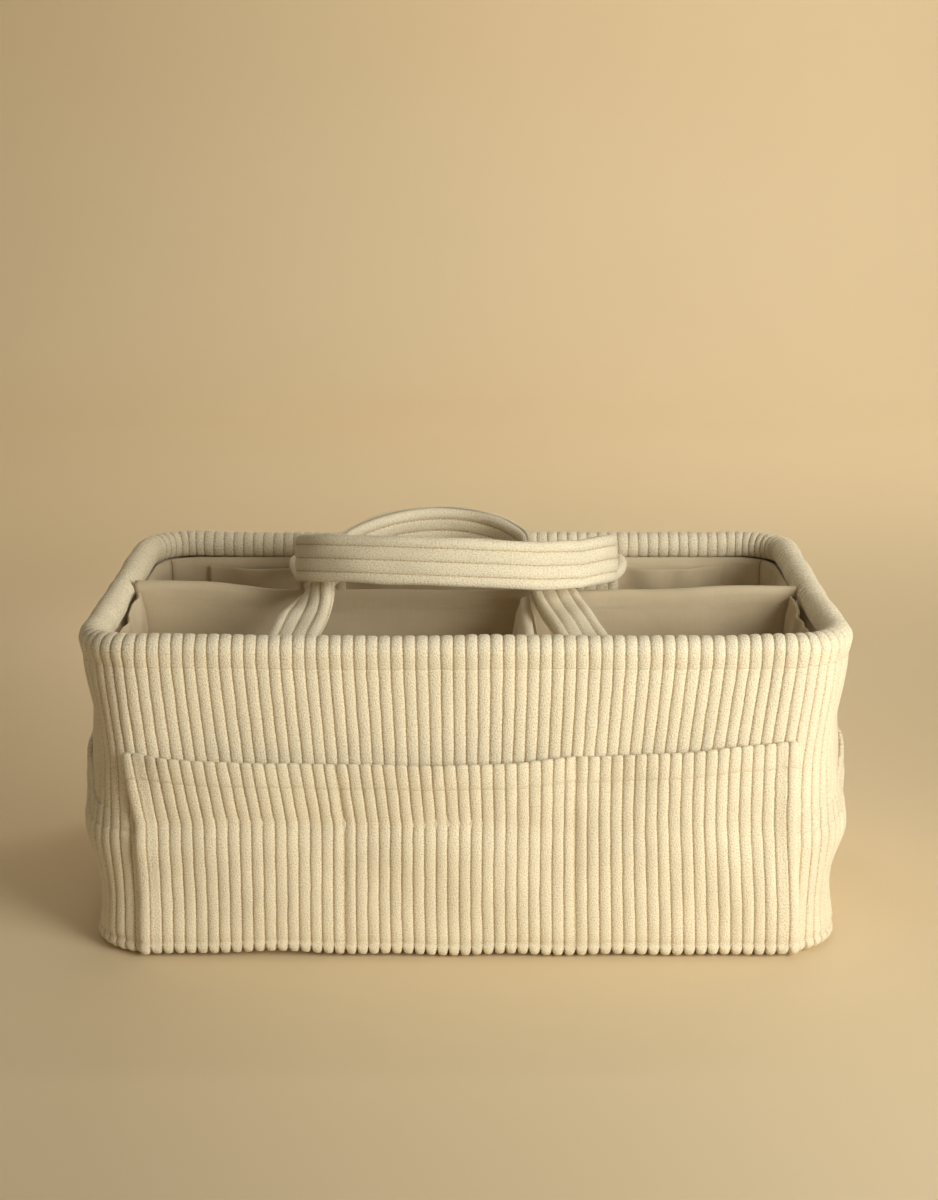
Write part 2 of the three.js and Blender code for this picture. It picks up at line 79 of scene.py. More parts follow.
def fold_breaks():
    """Where the outline changes from straight to round: run, point that the normal starts from, and its angle."""
    run, angle = 0.0, -math.pi / 2
    rows = [(run, 0.0, -CENTRE_Y, angle)]
    for x, y, length in ((1, -1, CENTRE_X), (1, 1, 2 * CENTRE_Y), (-1, 1, 2 * CENTRE_X), (-1, -1, 2 * CENTRE_Y)):
        for step, turn in ((length, 0), (CORNER_RUN, math.pi / 2)):
            run, angle = run + step, angle + turn
            rows.append((run, x * CENTRE_X, y * CENTRE_Y, angle))
    rows.append((run + CENTRE_X, 0.0, -CENTRE_Y, angle))
    return np.array(rows)


BREAKS = fold_breaks()
FULL_RUN = BREAKS[-1, 0]


def spread(*coordinates):
    """Points from coordinates that are spread over each other's shape."""
    return np.stack(np.broadcast_arrays(*coordinates), axis=-1)


def column(*parts):
    """Numbers one below the other, for the rows of a grid."""
    return np.concatenate([np.atleast_1d(part) for part in parts])[:, None]


def lay(run, offset, z):
    """Points of the outline, moved outwards by an offset."""
    run, offset, z = np.broadcast_arrays(run, offset, z)
    x, y, angle = (np.interp(np.mod(run, FULL_RUN), BREAKS[:, 0], BREAKS[:, k]) for k in (1, 2, 3))
    reach = CORNER + offset
    return spread(x + reach * np.cos(angle), y + reach * np.sin(angle), z)


def distances(points):
    """Length along a line of points, from its first one."""
    return np.r_[0, np.cumsum(np.linalg.norm(np.diff(points, axis=0), axis=1))]


def sample(where, run, values):
    """Rows of values, at other places than the runs they are given for."""
    return spread(*(np.interp(where, run, axis) for axis in values.T))


def unit(vectors):
    return vectors / np.linalg.norm(vectors, axis=-1, keepdims=True)


def ramp(value, low, high):
    """Nothing at low and one at high, which may also be the lower of the two."""
    return np.clip((value - low) / (high - low), 0, 1)


def smooth(value, low, high):
    t = ramp(value, low, high)
    return t * t * (3 - 2 * t)


def bell(value, middle, width):
    return np.exp(-(((value - middle) / width) ** 2))


def dome(away, reach, power):
    return np.cos(math.pi / 2 * ramp(away, 0, reach)) ** power


def round_off(edge, radius):
    """How far a rounded edge falls back, from one at the edge to nothing at its radius."""
    return 1 - np.sqrt(1 - (1 - ramp(edge, 0, radius)) ** 2)


def ripple(a, b, seed, across, along, terms=7):
    """A soft irregular wave over two coordinates, mostly between -1 and 1."""
    draw = np.random.default_rng(seed)
    total = 0
    for _ in range(terms):
        fa = draw.uniform(0.45, 1.5) / across
        fb = draw.uniform(-1.3, 1.3) / along
        total = total + np.sin(2 * math.pi * (fa * a + fb * b) + draw.uniform(0, 2 * math.pi))
    return total / math.sqrt(terms)


def wave(a, seed, length):
    """The same along one coordinate."""
    return ripple(a, 0 * a, seed, length, 1)


def wale_height(u):
    """Height of the pile where u counts wales: nothing in a groove, and one on a crest."""
    return 1 - np.abs(2 * np.mod(u, 1) - 1) ** WALE_POWER


def wale_columns(count):
    return np.append((np.arange(count)[:, None] + WALE_CUTS).ravel(), count)


def from_end_middle(run):
    """Distance along the outline from the middle of the nearer end."""
    folded = np.abs(np.mod(run + BACK_RUN, FULL_RUN) - BACK_RUN)
    return np.abs(folded - END_RUN)


def nearest(run, places):
    return np.min([np.abs(run - p) for p in places], axis=0)


END_BULGE, LONG_SIDE_BULGE, RIM_FLARE = 12.5, 1.2, 2.6
LOW_PINCH, HIGH_PINCH, WALL_WAVE = 1.0, 3.6, 0.3
SLOW_STRAY, QUICK_STRAY = 0.45, 0.12


def wall_swell(run, z):
    """How far the soft wall stands out of its CAD face: most in the middle of the two ends, flared to the rim, and
    drawn in at the corners."""
    away = from_end_middle(run)
    height = np.sin(math.pi * ramp(z, 4, 147)) ** 1.3
    bulge = END_BULGE * dome(away, 97, 1.5) + LONG_SIDE_BULGE * smooth(away, 130, 240)
    flare = RIM_FLARE * smooth(z, 92, 147)
    pinch = -LOW_PINCH * bell(away, 96, 26) * bell(z, 32, 16) - HIGH_PINCH * bell(away, 90, 22) * bell(z, 114, 23)
    return height * bulge + flare + pinch + WALL_WAVE * ripple(run, z, 3, 80, 110) * smooth(z, 4, 30)


def wall_wander(run, z):
    """How far the wales of the wall stray sideways, which is nothing at the seams in the middle of the ends."""
    stray = SLOW_STRAY * ripple(run, z, 11, 160, 150) + QUICK_STRAY * ripple(run, z, 13, 20, 22)
    return stray * smooth(z, 5, 30) * smooth(from_end_middle(run), 0, 25)


# Meshes

def make_mesh(name, points, faces, uv, pile=None, flat_faces=()):
    mesh = bpy.data.meshes.new(name)
    mesh.from_pydata((np.asarray(points) * 0.001).tolist(), [], faces)
    mesh.update()
    smooth_flags = np.ones(len(mesh.polygons), bool)
    smooth_flags[list(flat_faces)] = False
    mesh.polygons.foreach_set("use_smooth", smooth_flags)
    corner = np.empty(len(mesh.loops), int)
    mesh.loops.foreach_get("vertex_index", corner)
    layer = mesh.uv_layers.new(name="UVMap")
    layer.data.foreach_set("uv", (np.asarray(uv) * 0.001)[corner].astype(np.float32).ravel())
    if pile is not None:
        mesh.attributes.new("pile", "FLOAT", "POINT").data.foreach_set("value", np.asarray(pile, np.float32))
    obj = bpy.data.objects.new(name, mesh)
    bpy.context.scene.collection.objects.link(obj)
    return obj


def enclosed(points, quads):
    """Six times the volume inside a closed surface, with a sign that tells which way its faces look."""
    a, b, c, d = (points[quads[:, k]] for k in range(4))
    return np.einsum("ij,ij->", a, np.cross(b, c)) + np.einsum("ij,ij->", a, np.cross(c, d))


def loft(name, grid, across, along, pile=None):
    """A closed surface from rings: each column of the grid is a ring, and the first and last are capped. across and
    along are its cloth coordinates."""
    rows, columns = grid.shape[:2]
    index = np.arange(rows * columns).reshape(rows, columns)
    above = np.roll(index, -1, axis=0)
    quads = np.stack([index[:, :-1], index[:, 1:], above[:, 1:], above[:, :-1]], axis=-1).reshape(-1, 4)
    points = grid.reshape(-1, 3)
    faces = quads.tolist() + [index[:, 0].tolist(), index[::-1, -1].tolist()]
    if enclosed(points, quads) < 0:
        faces = [f[::-1] for f in faces]
    values = None if pile is None else np.broadcast_to(pile, (rows, columns)).ravel()
    uv = spread(across, along).reshape(-1, 2)
    return make_mesh(name, points, faces, uv, values, range(len(quads), len(faces)))


def dress(obj, material):
    obj.data.materials.clear()
    obj.data.materials.append(material)


def place(obj, material, nodes, body="caddy"):
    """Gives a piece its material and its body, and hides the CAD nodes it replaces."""
    dress(obj, material)
    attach(obj, body)
    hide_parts(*nodes)
    return obj


def sew(name, stitches, material):
    """One mesh from many stitches, which rides the caddy."""
    points = np.vstack(stitches)
    faces = [[i + k * len(stitches[0]) for i in face] for k in range(len(stitches)) for face in STITCH_FACES]
    obj = make_mesh(name, points, faces, points[:, :2])
    dress(obj, material)
    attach(obj, "caddy")


# Stitches: length and radius of one, or the pitch, length and radius of a line of them

RIM_STITCH, HEM_STITCH = (4.0, 0.24), (3.9, 0.23)
SEAM_LINE, LINING_LINE, BOX_LINE = (3.4, 2.6, 0.24), (3.2, 2.4, 0.16), (3.0, 2.4, 0.3)
STITCH_SIDES = 6
STITCH_RINGS = ((-1, 0.25), (-0.85, 0.75), (-0.4, 1), (0.4, 1), (0.85, 0.75), (1, 0.25))


def stitch_faces():
    count = len(STITCH_RINGS)
    ring = np.arange(count * STITCH_SIDES).reshape(count, STITCH_SIDES)
    turned = np.roll(ring, -1, axis=1)
    sides = np.stack([ring[:-1], turned[:-1], turned[1:], ring[1:]], axis=-1).reshape(-1, 4)
    return sides.tolist() + [ring[0, ::-1].tolist(), ring[-1].tolist()]


STITCH_FACES = stitch_faces()


def stitch(middle, along, out, length, radius):
    """One stitch: a short thread that dives into the cloth at both ends."""
    along = unit(along)
    out = unit(out - along * np.dot(out, along))
    side = np.cross(along, out)
    turn = np.arange(STITCH_SIDES) * 2 * math.pi / STITCH_SIDES
    rings = []
    for share_along, share in STITCH_RINGS:
        centre = middle + along * share_along * length / 2 - out * radius * 1.2 * share_along**2
        rings.append(centre + share * radius * (np.cos(turn)[:, None] * out + np.sin(turn)[:, None] * side))
    return np.vstack(rings)


def stitch_line(points, outs, pitch, length, radius):
    """Stitches at an even pitch along a line of points, with the outward direction at each."""
    points, outs = np.asarray(points, float), np.asarray(outs, float)
    run = distances(points)
    count = max(int(run[-1] // pitch), 1)
    places = (np.arange(count) + 0.5) * run[-1] / count
    middles, normals = sample(places, run, points), sample(places, run, outs)
    tangents = sample(places + 0.4, run, points) - sample(places - 0.4, run, points)
    return [stitch(m, t, o, length, radius) for m, t, o in zip(middles, tangents, normals)]


# Materials

def srgb(red, green, blue):
    def linear(value):
        value /= 255
        return value / 12.92 if value <= 0.04045 else ((value + 0.055) / 1.055) ** 2.4
    return (linear(red), linear(green), linear(blue), 1.0)


class Nodes:
    """A short way to write the nodes of a material or of the world."""

    def __init__(self, owner):
        owner.use_nodes = True
        self.owner, self.tree = owner, owner.node_tree
        self.shader = self.tree.nodes.get("Principled BSDF")

    def feed(self, socket, value):
        """Link an output to a socket, or set the socket's own value."""
        if isinstance(value, bpy.types.NodeSocket):
            self.tree.links.new(value, socket)
        else:
            socket.default_value = value

    def add(self, kind, inputs=None, out=0, **settings):
        """An output of a new node."""
        node = self.tree.nodes.new("ShaderNode" + kind)
        for key, value in settings.items():
            setattr(node, key, value)
        for key, value in (inputs or {}).items():
            self.feed(node.inputs[key], value)
        return node.outputs[out]

    def set(self, **values):
        for key, value in values.items():
            self.feed(self.shader.inputs[key.replace("_", " ")], value)
        return self.owner

    def plane(self, across=1.0, along=1.0):
        """Cloth coordinates in metres, across the wales and along them."""
        uv = self.add("UVMap", uv_map="UVMap")
        return self.add("Mapping", {"Vector": uv, "Scale": (across, along, 1)})

    def noise(self, vector, scale, detail=3.0, roughness=0.55):
        return self.add("TexNoise", {
            "Vector": vector, "Scale": scale, "Detail": detail, "Roughness": roughness}, "Fac")

    def math(self, operation, first, second):
        return self.add("Math", {0: first, 1: second}, operation=operation)

    def span(self, value, low, high, out_low, out_high):
        return self.add("MapRange", {
            "Value": value, "From Min": low, "From Max": high, "To Min": out_low, "To Max": out_high}, "Result")

    def mix(self, factor, first, second, blend="MIX"):
        node = self.tree.nodes.new("ShaderNodeMix")
        node.data_type, node.blend_type = "RGBA", blend
        for key, value in (("Factor", factor), ("A", first), ("B", second)):
            self.feed(next(s for s in node.inputs if s.name == key and s.enabled), value)
        return next(s for s in node.outputs if s.enabled)

    def shaded(self, colour, shade, blue):
        """A colour times a shade, with a shade of its own for blue."""
        shades = self.add("CombineColor", {"Red": shade, "Green": shade, "Blue": blue})
        return self.mix(1.0, colour, shades, "MULTIPLY")

    def bump(self, height, strength, distance, below=None):
        inputs = {"Height": height, "Strength": strength, "Distance": distance}
        if below is not None:
            inputs["Normal"] = below
        return self.add("Bump", inputs)


def corduroy_material(name, crest, flank, groove_shade):
    n = Nodes(bpy.data.materials.new(name))
    plane = n.plane()
    pile = n.add("Attribute", out="Fac", attribute_name="pile")
    fibres = n.noise(plane, 1900, 3, 0.6)
    tufts = n.noise(n.plane(1350, 1000), 1, 2, 0.6)
    lay_of_pile = n.noise(n.plane(150, 30), 1, 3)
    soil = n.noise(plane, 14, 3)
    # Loose fibres blur the edge between a crest and its groove.
    # The pile attribute picks the colour: the darker groove colour is painted shade in the grooves, rising through
    # the flank to the crest colour. Where the attribute is lowered it paints shade too.
    edge = n.math("ADD", pile, n.span(tufts, 0.3, 0.7, -0.14, 0.14))
    low = n.mix(n.span(edge, 0.02, 0.42, 0, 1), groove_shade, flank)
    colour = n.mix(n.span(edge, 0.4, 0.9, 0, 1), low, crest)
    shade = n.span(lay_of_pile, 0.3, 0.7, 0.95, 1.04)
    for layer in (
        n.span(tufts, 0.34, 0.56, 0.78, 1.0), n.span(fibres, 0.3, 0.7, 0.93, 1.05),
        n.span(soil, 0.3, 0.7, 0.975, 1.015),
    ):
        shade = n.math("MULTIPLY", shade, layer)
    colour = n.shaded(colour, shade, n.math("MULTIPLY", shade, n.span(soil, 0.3, 0.7, 0.98, 1.005)))
    fine = n.bump(fibres, 0.5, 0.0003, n.bump(tufts, 0.8, 0.0008))
    return n.set(Base_Color=colour, Roughness=0.92, Sheen_Weight=0.22, Sheen_Roughness=0.45,
                 Sheen_Tint=srgb(255, 246, 228), Specular_IOR_Level=0.2, Normal=fine)


def woven_material(name, colour, dark, pitch=0.0006, depth=0.0001, sheen=0.12, roughness=0.75):
    """Plain weave: threads over and under each other, with slubs."""
    n = Nodes(bpy.data.materials.new(name))
    plane = n.plane()
    threads = {"Vector": plane, "Scale": math.pi / (10 * pitch), "Distortion": 0.6, "Detail": 1.0,
               "Detail Scale": 2.0}
    weave = n.math("MAXIMUM", *(
        n.add("TexWave", threads, "Fac", wave_type="BANDS", bands_direction=direction)
        for direction in ("X", "Y")))
    slubs = n.math("MAXIMUM", n.noise(n.plane(1400, 60), 1, 2), n.noise(n.plane(60, 1400), 1, 2))
    tone = n.mix(n.span(n.noise(plane, 22, 3), 0.3, 0.7, 0, 1), dark, colour)
    shade = n.math("MULTIPLY", n.span(weave, 0, 1, 0.94, 1.02), n.span(slubs, 0.45, 0.75, 0.97, 1.03))
    tone = n.shaded(tone, shade, shade)
    crumple = n.bump(n.noise(plane, 45, 3, 0.5), 0.25, 0.002)
    return n.set(Base_Color=tone, Roughness=roughness, Sheen_Weight=sheen, Sheen_Roughness=0.5,
                 Specular_IOR_Level=0.25, Normal=n.bump(weave, 0.35, depth, crumple))


def grain_material(name, colour, dark, scale, strength, distance, roughness):
    """A plain finish with an even grain, for foam, board and tape."""
    n = Nodes(bpy.data.materials.new(name))
    where = n.add("TexCoord", out="Object")
    cells = n.add("TexVoronoi", {"Vector": where, "Scale": scale}, "Distance")
    cloudy = n.span(n.noise(where, scale / 12, 3), 0.3, 0.7, 0.8, 1.2)
    tone = n.mix(n.span(n.math("MULTIPLY", cells, cloudy), 0, 0.6, 0, 1), dark, colour)
    return n.set(Base_Color=tone, Roughness=roughness, Specular_IOR_Level=0.3,
                 Normal=n.bump(cells, strength, distance))


# Crest, flank and groove colours of the corduroy: the darker groove colour is painted shade in the grooves.
corduroy = corduroy_material("corduroy", srgb(246, 232, 200), srgb(240, 225, 192), srgb(207, 183, 143))
lining_cloth = woven_material("lining_cloth", srgb(214, 196, 163), srgb(201, 182, 148))
# The cross divider's cloth is paler than the lining cloth: the extra paleness is painted light on the pad's shaded
# left face.
painted_lit_cushion_cloth = woven_material("painted_lit_cushion_cloth", srgb(236, 221, 190), srgb(227, 211, 178))
divider_cloth = woven_material("divider_cloth", srgb(209, 191, 157), srgb(197, 178, 144))
thread = woven_material("thread", srgb(226, 207, 168), srgb(212, 190, 150), 0.0004, 0.00006, 0.1, 0.7)
foam_finish = grain_material("foam", srgb(241, 238, 228), srgb(222, 216, 200), 900, 0.4, 0.0006, 0.9)
board_finish = grain_material("board", srgb(217, 213, 203), srgb(200, 195, 184), 300, 0.15, 0.0003, 0.6)
loop_tape = grain_material("loop_tape", srgb(209, 194, 166), srgb(180, 163, 132), 1300, 0.8, 0.0007, 0.9)
hook_tape = grain_material("hook_tape", srgb(203, 189, 163), srgb(165, 149, 120), 800, 0.9, 0.0006, 0.6)


# Outside wraps, from the tuck under the base, up the wall, over the rolled rim and down the facing inside

WALL_GROOVE = WALL_OUT - 0.75
WALL_ROWS, ROLL_ROWS = 34, 19
ROLL_OUTER, ROLL_INNER = 6.3, 4.4
TUCK_SHARE = (0, 0.3, 0.6, 0.85, 0.95, 1, 1)
SEAM_NOTCH = ((0, 148.9), (0, 149.5), (-0.2, 150), (0.09, 150.5), (0.42, 151.2), (1.42, 152.6), (2.73, 154.2))
SEAM_SHARE = (1, 0.97, 0.88, 0.97, 1, 1, 1)
SEAM_ROW = len(TUCK_SHARE) + WALL_ROWS + 2
FACING = ((-13.5, 155.6), (-13.5, 153.4), (-13.3, 151.8), (-12.6, 151.1))
FACING_SHARE = (0.9, 0.8, 0.6, 0.2)
WALL_LEAN, RIM_PUFF, END_SEAM_DEPTH, FOOT_LIFT, RIM_SAG = 5.0, 0.25, 1.0, 2.5, 0.7
POCKET_PRESS, POCKET_FLATTENS = 1.0, 0.8
FRONT_COVER, END_COVER, LEAST_INSIDE = 96, 70, -7.2


def arc(offset, z, reach_offset, reach_z, start, end, count):
    a = np.radians(np.linspace(start, end, count))
    return spread(offset + reach_offset * np.cos(a), z + reach_z * np.sin(a))


def wrap_profile():
    """Rows of the outer face at the bottom of the grooves, their normals, and the share of the pile on each."""
    tuck = np.vstack([[-12, 1.3], arc(-9.6, 6.6, 9.6 + WALL_GROOVE, 5.6, -90, -12, len(TUCK_SHARE) - 1)])
    wall = spread(WALL_GROOVE, np.linspace(7.5, 148.2, WALL_ROWS))
    seam = np.array(SEAM_NOTCH) + [WALL_GROOVE, 0]
    roll = arc(ROLL_OFFSET, ROLL_Z, ROLL_OUTER, ROLL_OUTER, -12, 180, ROLL_ROWS)
    share = column(TUCK_SHARE, np.ones(WALL_ROWS), SEAM_SHARE, np.ones(ROLL_ROWS), FACING_SHARE)
    profile = np.vstack([tuck, wall, seam, roll, FACING])
    tangent = unit(np.gradient(profile, axis=0))
    return profile, spread(tangent[:, 1], -tangent[:, 0]), share


def wrap_inside():
    """Rows of the hidden inner face, from the facing back down to the tuck."""
    roll = arc(ROLL_OFFSET, ROLL_Z, ROLL_INNER, ROLL_INNER, 170, -40, 8)
    return np.vstack([
        [-11.6, 151.6], [-11.3, 154], roll,
        [-6.8, 151], [-6.9, 147], [-6.9, 100], [-6.9, 55], [-6.9, 12], [-8.6, 4.4], [-12, 2.6],
    ])


def covered(run):
    """One where an outside pocket covers the bottom of the wall, and nothing behind, where the wall shows."""
    return smooth(np.abs(np.mod(run, FULL_RUN) - BACK_RUN), CENTRE_X + 4, CENTRE_X + 14)


def wrap_swell(run, z):
    return wall_swell(run, z) * smooth(z, 156.7, 150)


def wrap_lift(run, z):
    """The foot of the wall lies higher inside a pocket, and the rim is a little uneven."""
    return FOOT_LIFT * covered(run) * smooth(z, 22, 4) + RIM_SAG * wave(run, 23, 190) * smooth(z, 120, 150)


def build_wrap(name, middle):
    profile, normal, share = wrap_profile()
    row_z = profile[:, 1:]
    u = wale_columns(WALES_PER_WRAP)
    run = middle - END_RUN + u * PITCH
    draw = np.random.default_rng(int(middle) + 5)
    tall = np.interp(u, np.arange(WALES_PER_WRAP) + 0.5, draw.uniform(0.9, 1.08, WALES_PER_WRAP))
    # Wales wander a little, and lean outwards from the pocket up to the rim.
    side = run - middle
    lean = np.clip(side / 120, -1, 1) * WALL_LEAN * smooth(np.abs(side), 280, 150) * ramp(row_z, 98, 151)
    places = run + wall_wander(run, row_z) + lean
    # They are pressed flat under the pockets, and drawn in at the ends' seams.
    cover = np.where((np.abs(side) < CENTRE_X) & (middle == 0), FRONT_COVER, END_COVER)
    under_pocket = covered(run) * smooth(row_z, cover + 4, cover - 10)
    pile = PILE * share * (wale_height(u) * tall) * (1 - POCKET_FLATTENS * under_pocket)
    end_seam = -END_SEAM_DEPTH * bell(np.minimum(u, WALES_PER_WRAP - u) * PITCH, 0, 1.6) * (share > 0.3)
    puff = RIM_PUFF * ripple(run, row_z, 17, 40, 40) * smooth(row_z, 151, 157)
    off = profile[:, :1] + normal[:, :1] * (pile + puff + end_seam)
    off = off + wrap_swell(run, row_z) - POCKET_PRESS * under_pocket
    outer = lay(places, off, row_z + normal[:, 1:] * (pile + puff) + wrap_lift(run, row_z))
    inside = wrap_inside()
    hidden_z = inside[:, 1:]
    hidden_off = inside[:, :1] + wrap_swell(run, hidden_z)
    on_foam = (hidden_z > 10) & (hidden_z < 149)
    hidden_off = np.where(on_foam, np.maximum(hidden_off, LEAST_INSIDE), hidden_off)
    grid = np.vstack([outer, lay(run, hidden_off, hidden_z + wrap_lift(run, hidden_z))])
    along = distances(profile)
    along = column(along, along[-1] + 3 + np.arange(len(inside)) * 8)
    # Colour mask: the wale height, for painted shade in the grooves, lowered for painted shade in the notch under the
    # rim, down the facing and where the cloth turns under the base.
    painted_shade_mask = np.where(share > 0.3, np.clip(share * 1.3 - 0.3, 0, 1), 1) * wale_height(u)
    obj = loft(name, grid, run[None], along, np.vstack([painted_shade_mask, np.full((len(inside), len(u)), 0.6)]))
    # One stitch on each wale, in the notch under the rim.
    threads = []
    crest_run = middle - END_RUN + (np.arange(WALES_PER_WRAP) + 0.5) * PITCH
    crests = grid[SEAM_ROW, CREST_CUT::len(WALE_CUTS)]
    for crest, at, base in zip(crests, crest_run, lay(crest_run, -60, STITCH_Z)):
        out = crest - base
        out[2] = 0
        nearby = lay(at + np.array([-0.5, 0.5]), WALL_OUT, STITCH_Z)
        threads.append(stitch(crest - 0.02 * unit(out), nearby[1] - nearby[0], out, *RIM_STITCH))
    return obj, threads


rim_threads = []
for name, foam, middle in (("outer_front_wrap", "front_foam", 0.0), ("outer_back_wrap", "back_foam", BACK_RUN)):
    wrap, threads = build_wrap(name + "_cloth", middle)
    place(wrap, corduroy, [name])
    rim_threads += threads
sew("rim_topstitch", rim_threads, thread)


# Patch pockets outside, from the foot up the face, over the upper edge and down behind

POCKET_GROOVE, POCKET_BACK, POCKET_FOOT = -1.35, -3.1, 5.6
FOOT_SHARE = (0.2, 0.5, 0.7, 0.85, 0.95, 1, 1)
BODY_LEVELS = column([0, 0.012, 0.025, 0.04, 0.06], np.linspace(0.09, 1, 24))
FOLD_ANGLES = np.radians(column(25, 55, 90, 125, 155))
FOLD_SHARE, FOLD_RADIUS = (0.95, 0.8, 0.6, 0.4, 0.2), 1.3
BACK_LEVELS = column(0.98, 0.86, 0.6, 0.3, 0.02)
LOW_BACK = np.array([[-7.0, 2.3], [-9.6, 2.0]])
HEM_ROW = len(FOOT_SHARE) + len(BODY_LEVELS) + 2
SEAM_ROWS = slice(len(FOOT_SHARE) + 1, HEM_ROW + 6)
# A hem: its width, the least brightness of the painted shade on its fold, and for each row the pile's share and the
# height.
FULL_HEM = (
    13, 0.35, (1, 0.94, 0.84, 0.94, 1, 1, 1, 1, 1), (0, -0.05, -0.18, 0.1, 0.3, 0.4, 0.4, 0.35, 0.2))
FLAT_HEM = (
    10, 0.7, (1, 0.9, 0.74, 0.74, 0.78, 0.8, 0.8, 0.8, 0.78),
    (0, -0.15, -0.45, -0.42, -0.35, -0.3, -0.3, -0.3, -0.35))
CORNER_DROP, GROOVE_DROP, SIDE_DROP = 3.2, 0.9, 1.6
SEAM_DEPTH, FACE_WAVE, FOOT_BEAD, FOOT_DENT, FOOT_NOTCH = 0.7, 0.16, 0.45, 0.9, 3.0


def pocket_rows(top, thin, hem):
    """Height, offset from the grooves of the face, and share of the pile, for each row of a pocket."""
    width, _, hem_share, hem_offset = hem
    tuck = arc(-7.4, POCKET_FOOT - 0.2, 7.4 + POCKET_GROOVE, 4.6, -90, -14, len(FOOT_SHARE) - 1)
    foot = np.vstack([[-9.6, 0.9], tuck])
    drops = column(width + 1.4, width + 0.6, width, width - 0.6, width - 1.6, width * 0.66, width * 0.4, 3.2, 1.9)
    thick = POCKET_GROOVE - POCKET_BACK + 0.5 - thin
    z = np.vstack([
        foot[:, 1:] + 0 * top,
        POCKET_FOOT + (top - width - 2.4 - POCKET_FOOT) * BODY_LEVELS,
        top - drops,
        top - FOLD_RADIUS + FOLD_RADIUS * np.sin(FOLD_ANGLES),
        POCKET_FOOT + (top - POCKET_FOOT) * BACK_LEVELS - 0.6,
        LOW_BACK[:, 1:] + 0 * top])
    offset = np.vstack([
        foot[:, :1] - POCKET_GROOVE + 0 * top,
        0 * BODY_LEVELS * top,
        column(hem_offset) + 0 * top,
        (np.cos(FOLD_ANGLES) - 1) * thick / 2 + hem_offset[-1] + 0.1,
        POCKET_BACK - POCKET_GROOVE + thin + 0 * BACK_LEVELS,
        LOW_BACK[:, :1] - POCKET_GROOVE + 0 * top])
    behind = np.zeros(len(BACK_LEVELS) + len(LOW_BACK))
    return z, offset, column(FOOT_SHARE, np.ones(len(BODY_LEVELS)), hem_share, FOLD_SHARE, behind)


def still(*_):
    return 0.0


def build_pocket(name, start, end, hem, top_of, gape_of, relief, shift=still, arch=still, stand_of=still,
                 seams=(), welt=0.0):
    """A patch pocket. top_of gives its upper edge, gape_of how far its mouth hangs off the wall, relief extra
    height of the cloth, shift how far its wales move sideways, arch how far its foot is lifted, stand_of how far
    the whole pocket is moved outwards, seams the runs at which it is sewn down, and welt the height of its folded
    side edges."""
    count = round((end - start) / PITCH)
    u = wale_columns(count)
    run = start + u * ((end - start) / count)
    edge = np.minimum(run - start, end - run)
    crown = wale_height(u)
    stand = stand_of(run) + 0 * run
    top = top_of(run) - CORNER_DROP * round_off(edge, 4.5) - GROOVE_DROP * (1 - crown)
    z, base, share = pocket_rows(top, 0.65 * smooth(-stand, 1.1, 2.5), hem)
    facing_out = share > 0
    # Slack: the pocket leaves the wall towards its upper edge, but not on a seam or at its ends.
    level = ramp(z, POCKET_FOOT, top)
    on_wall = smooth(level, 0, 0.12)
    slack = gape_of(run) * smooth(level, 0, 0.7)
    loose = relief(run, z) * on_wall
    swell = wall_swell(run, np.maximum(z, 6)) * on_wall
    # Its face: wales, folded side edges, seams that draw it in, and a bead with a dent above it at the foot.
    fold = welt * (smooth(edge, 7.5, 5.0) - 0.55 * bell(edge, 8.2, 0.9))
    pinch = sum(bell(run, seam, 2.2) for seam in seams)
    dent = bell(z, 8.2, 1.4)
    pile = PILE * share * (crown * (1 - 0.35 * pinch))
    face = pile + fold - (SIDE_DROP + welt) * round_off(edge, 2.6) - SEAM_DEPTH * pinch * on_wall
    face = face + FACE_WAVE * ripple(run, z, 31, 24, 60) * on_wall + FOOT_BEAD * bell(z, 4.4, 2) - FOOT_DENT * dent
    offset = POCKET_GROOVE + stand + base + slack + loose + swell + np.where(facing_out, face, 0)
    places = run + shift(run, z) + wall_wander(run, z) * (edge > 0.5)
    lift = np.where(facing_out & (z < 3), pile * -0.35, 0)
    notch = np.where(facing_out, FOOT_NOTCH * (1 - crown) ** 1.3 * smooth(z, 8, 2), 0)
    raised = arch(run) * smooth(z, 45, 3) + notch
    grid = lay(places, offset, np.maximum(z + lift, 0.25) + raised)
    along = column(0, np.cumsum(np.abs(np.diff(z.mean(axis=1))) + 0.6))
    # Colour mask: the wale height, for painted shade in the grooves, lowered for painted shade on the hem's fold,
    # along the seams and in the dent above the foot.
    painted_shade_mask = np.maximum(ramp(share, 0.2, 1), hem[1]) * crown
    painted_shade_mask = painted_shade_mask * (1 - 0.5 * pinch) * (1 - 0.5 * dent)
    obj = loft(name, grid, run[None], along, np.where(facing_out, painted_shade_mask, 0.55))
    # One stitch on each wale along the hem, and a line of them down each seam.
    outward = lay(run, 0, 0) - lay(run, -1, 0)
    line = grid[HEM_ROW]
    threads = [
        stitch(line[k] - 0.03 * outward[k], line[k + 1] - line[k - 1], outward[k], *HEM_STITCH)
        for k in range(CREST_CUT, len(u), len(WALE_CUTS))]
    for seam in seams:
        k = int(np.argmin(np.abs(run - seam)))
        line = grid[SEAM_ROWS, k] + 0.1 * outward[k]
        threads += stitch_line(line, np.tile(outward[k], (len(line), 1)), *SEAM_LINE)
    return obj, threads


# The front pocket: its upper edge through three points, mouths between its seams, and a crease across it

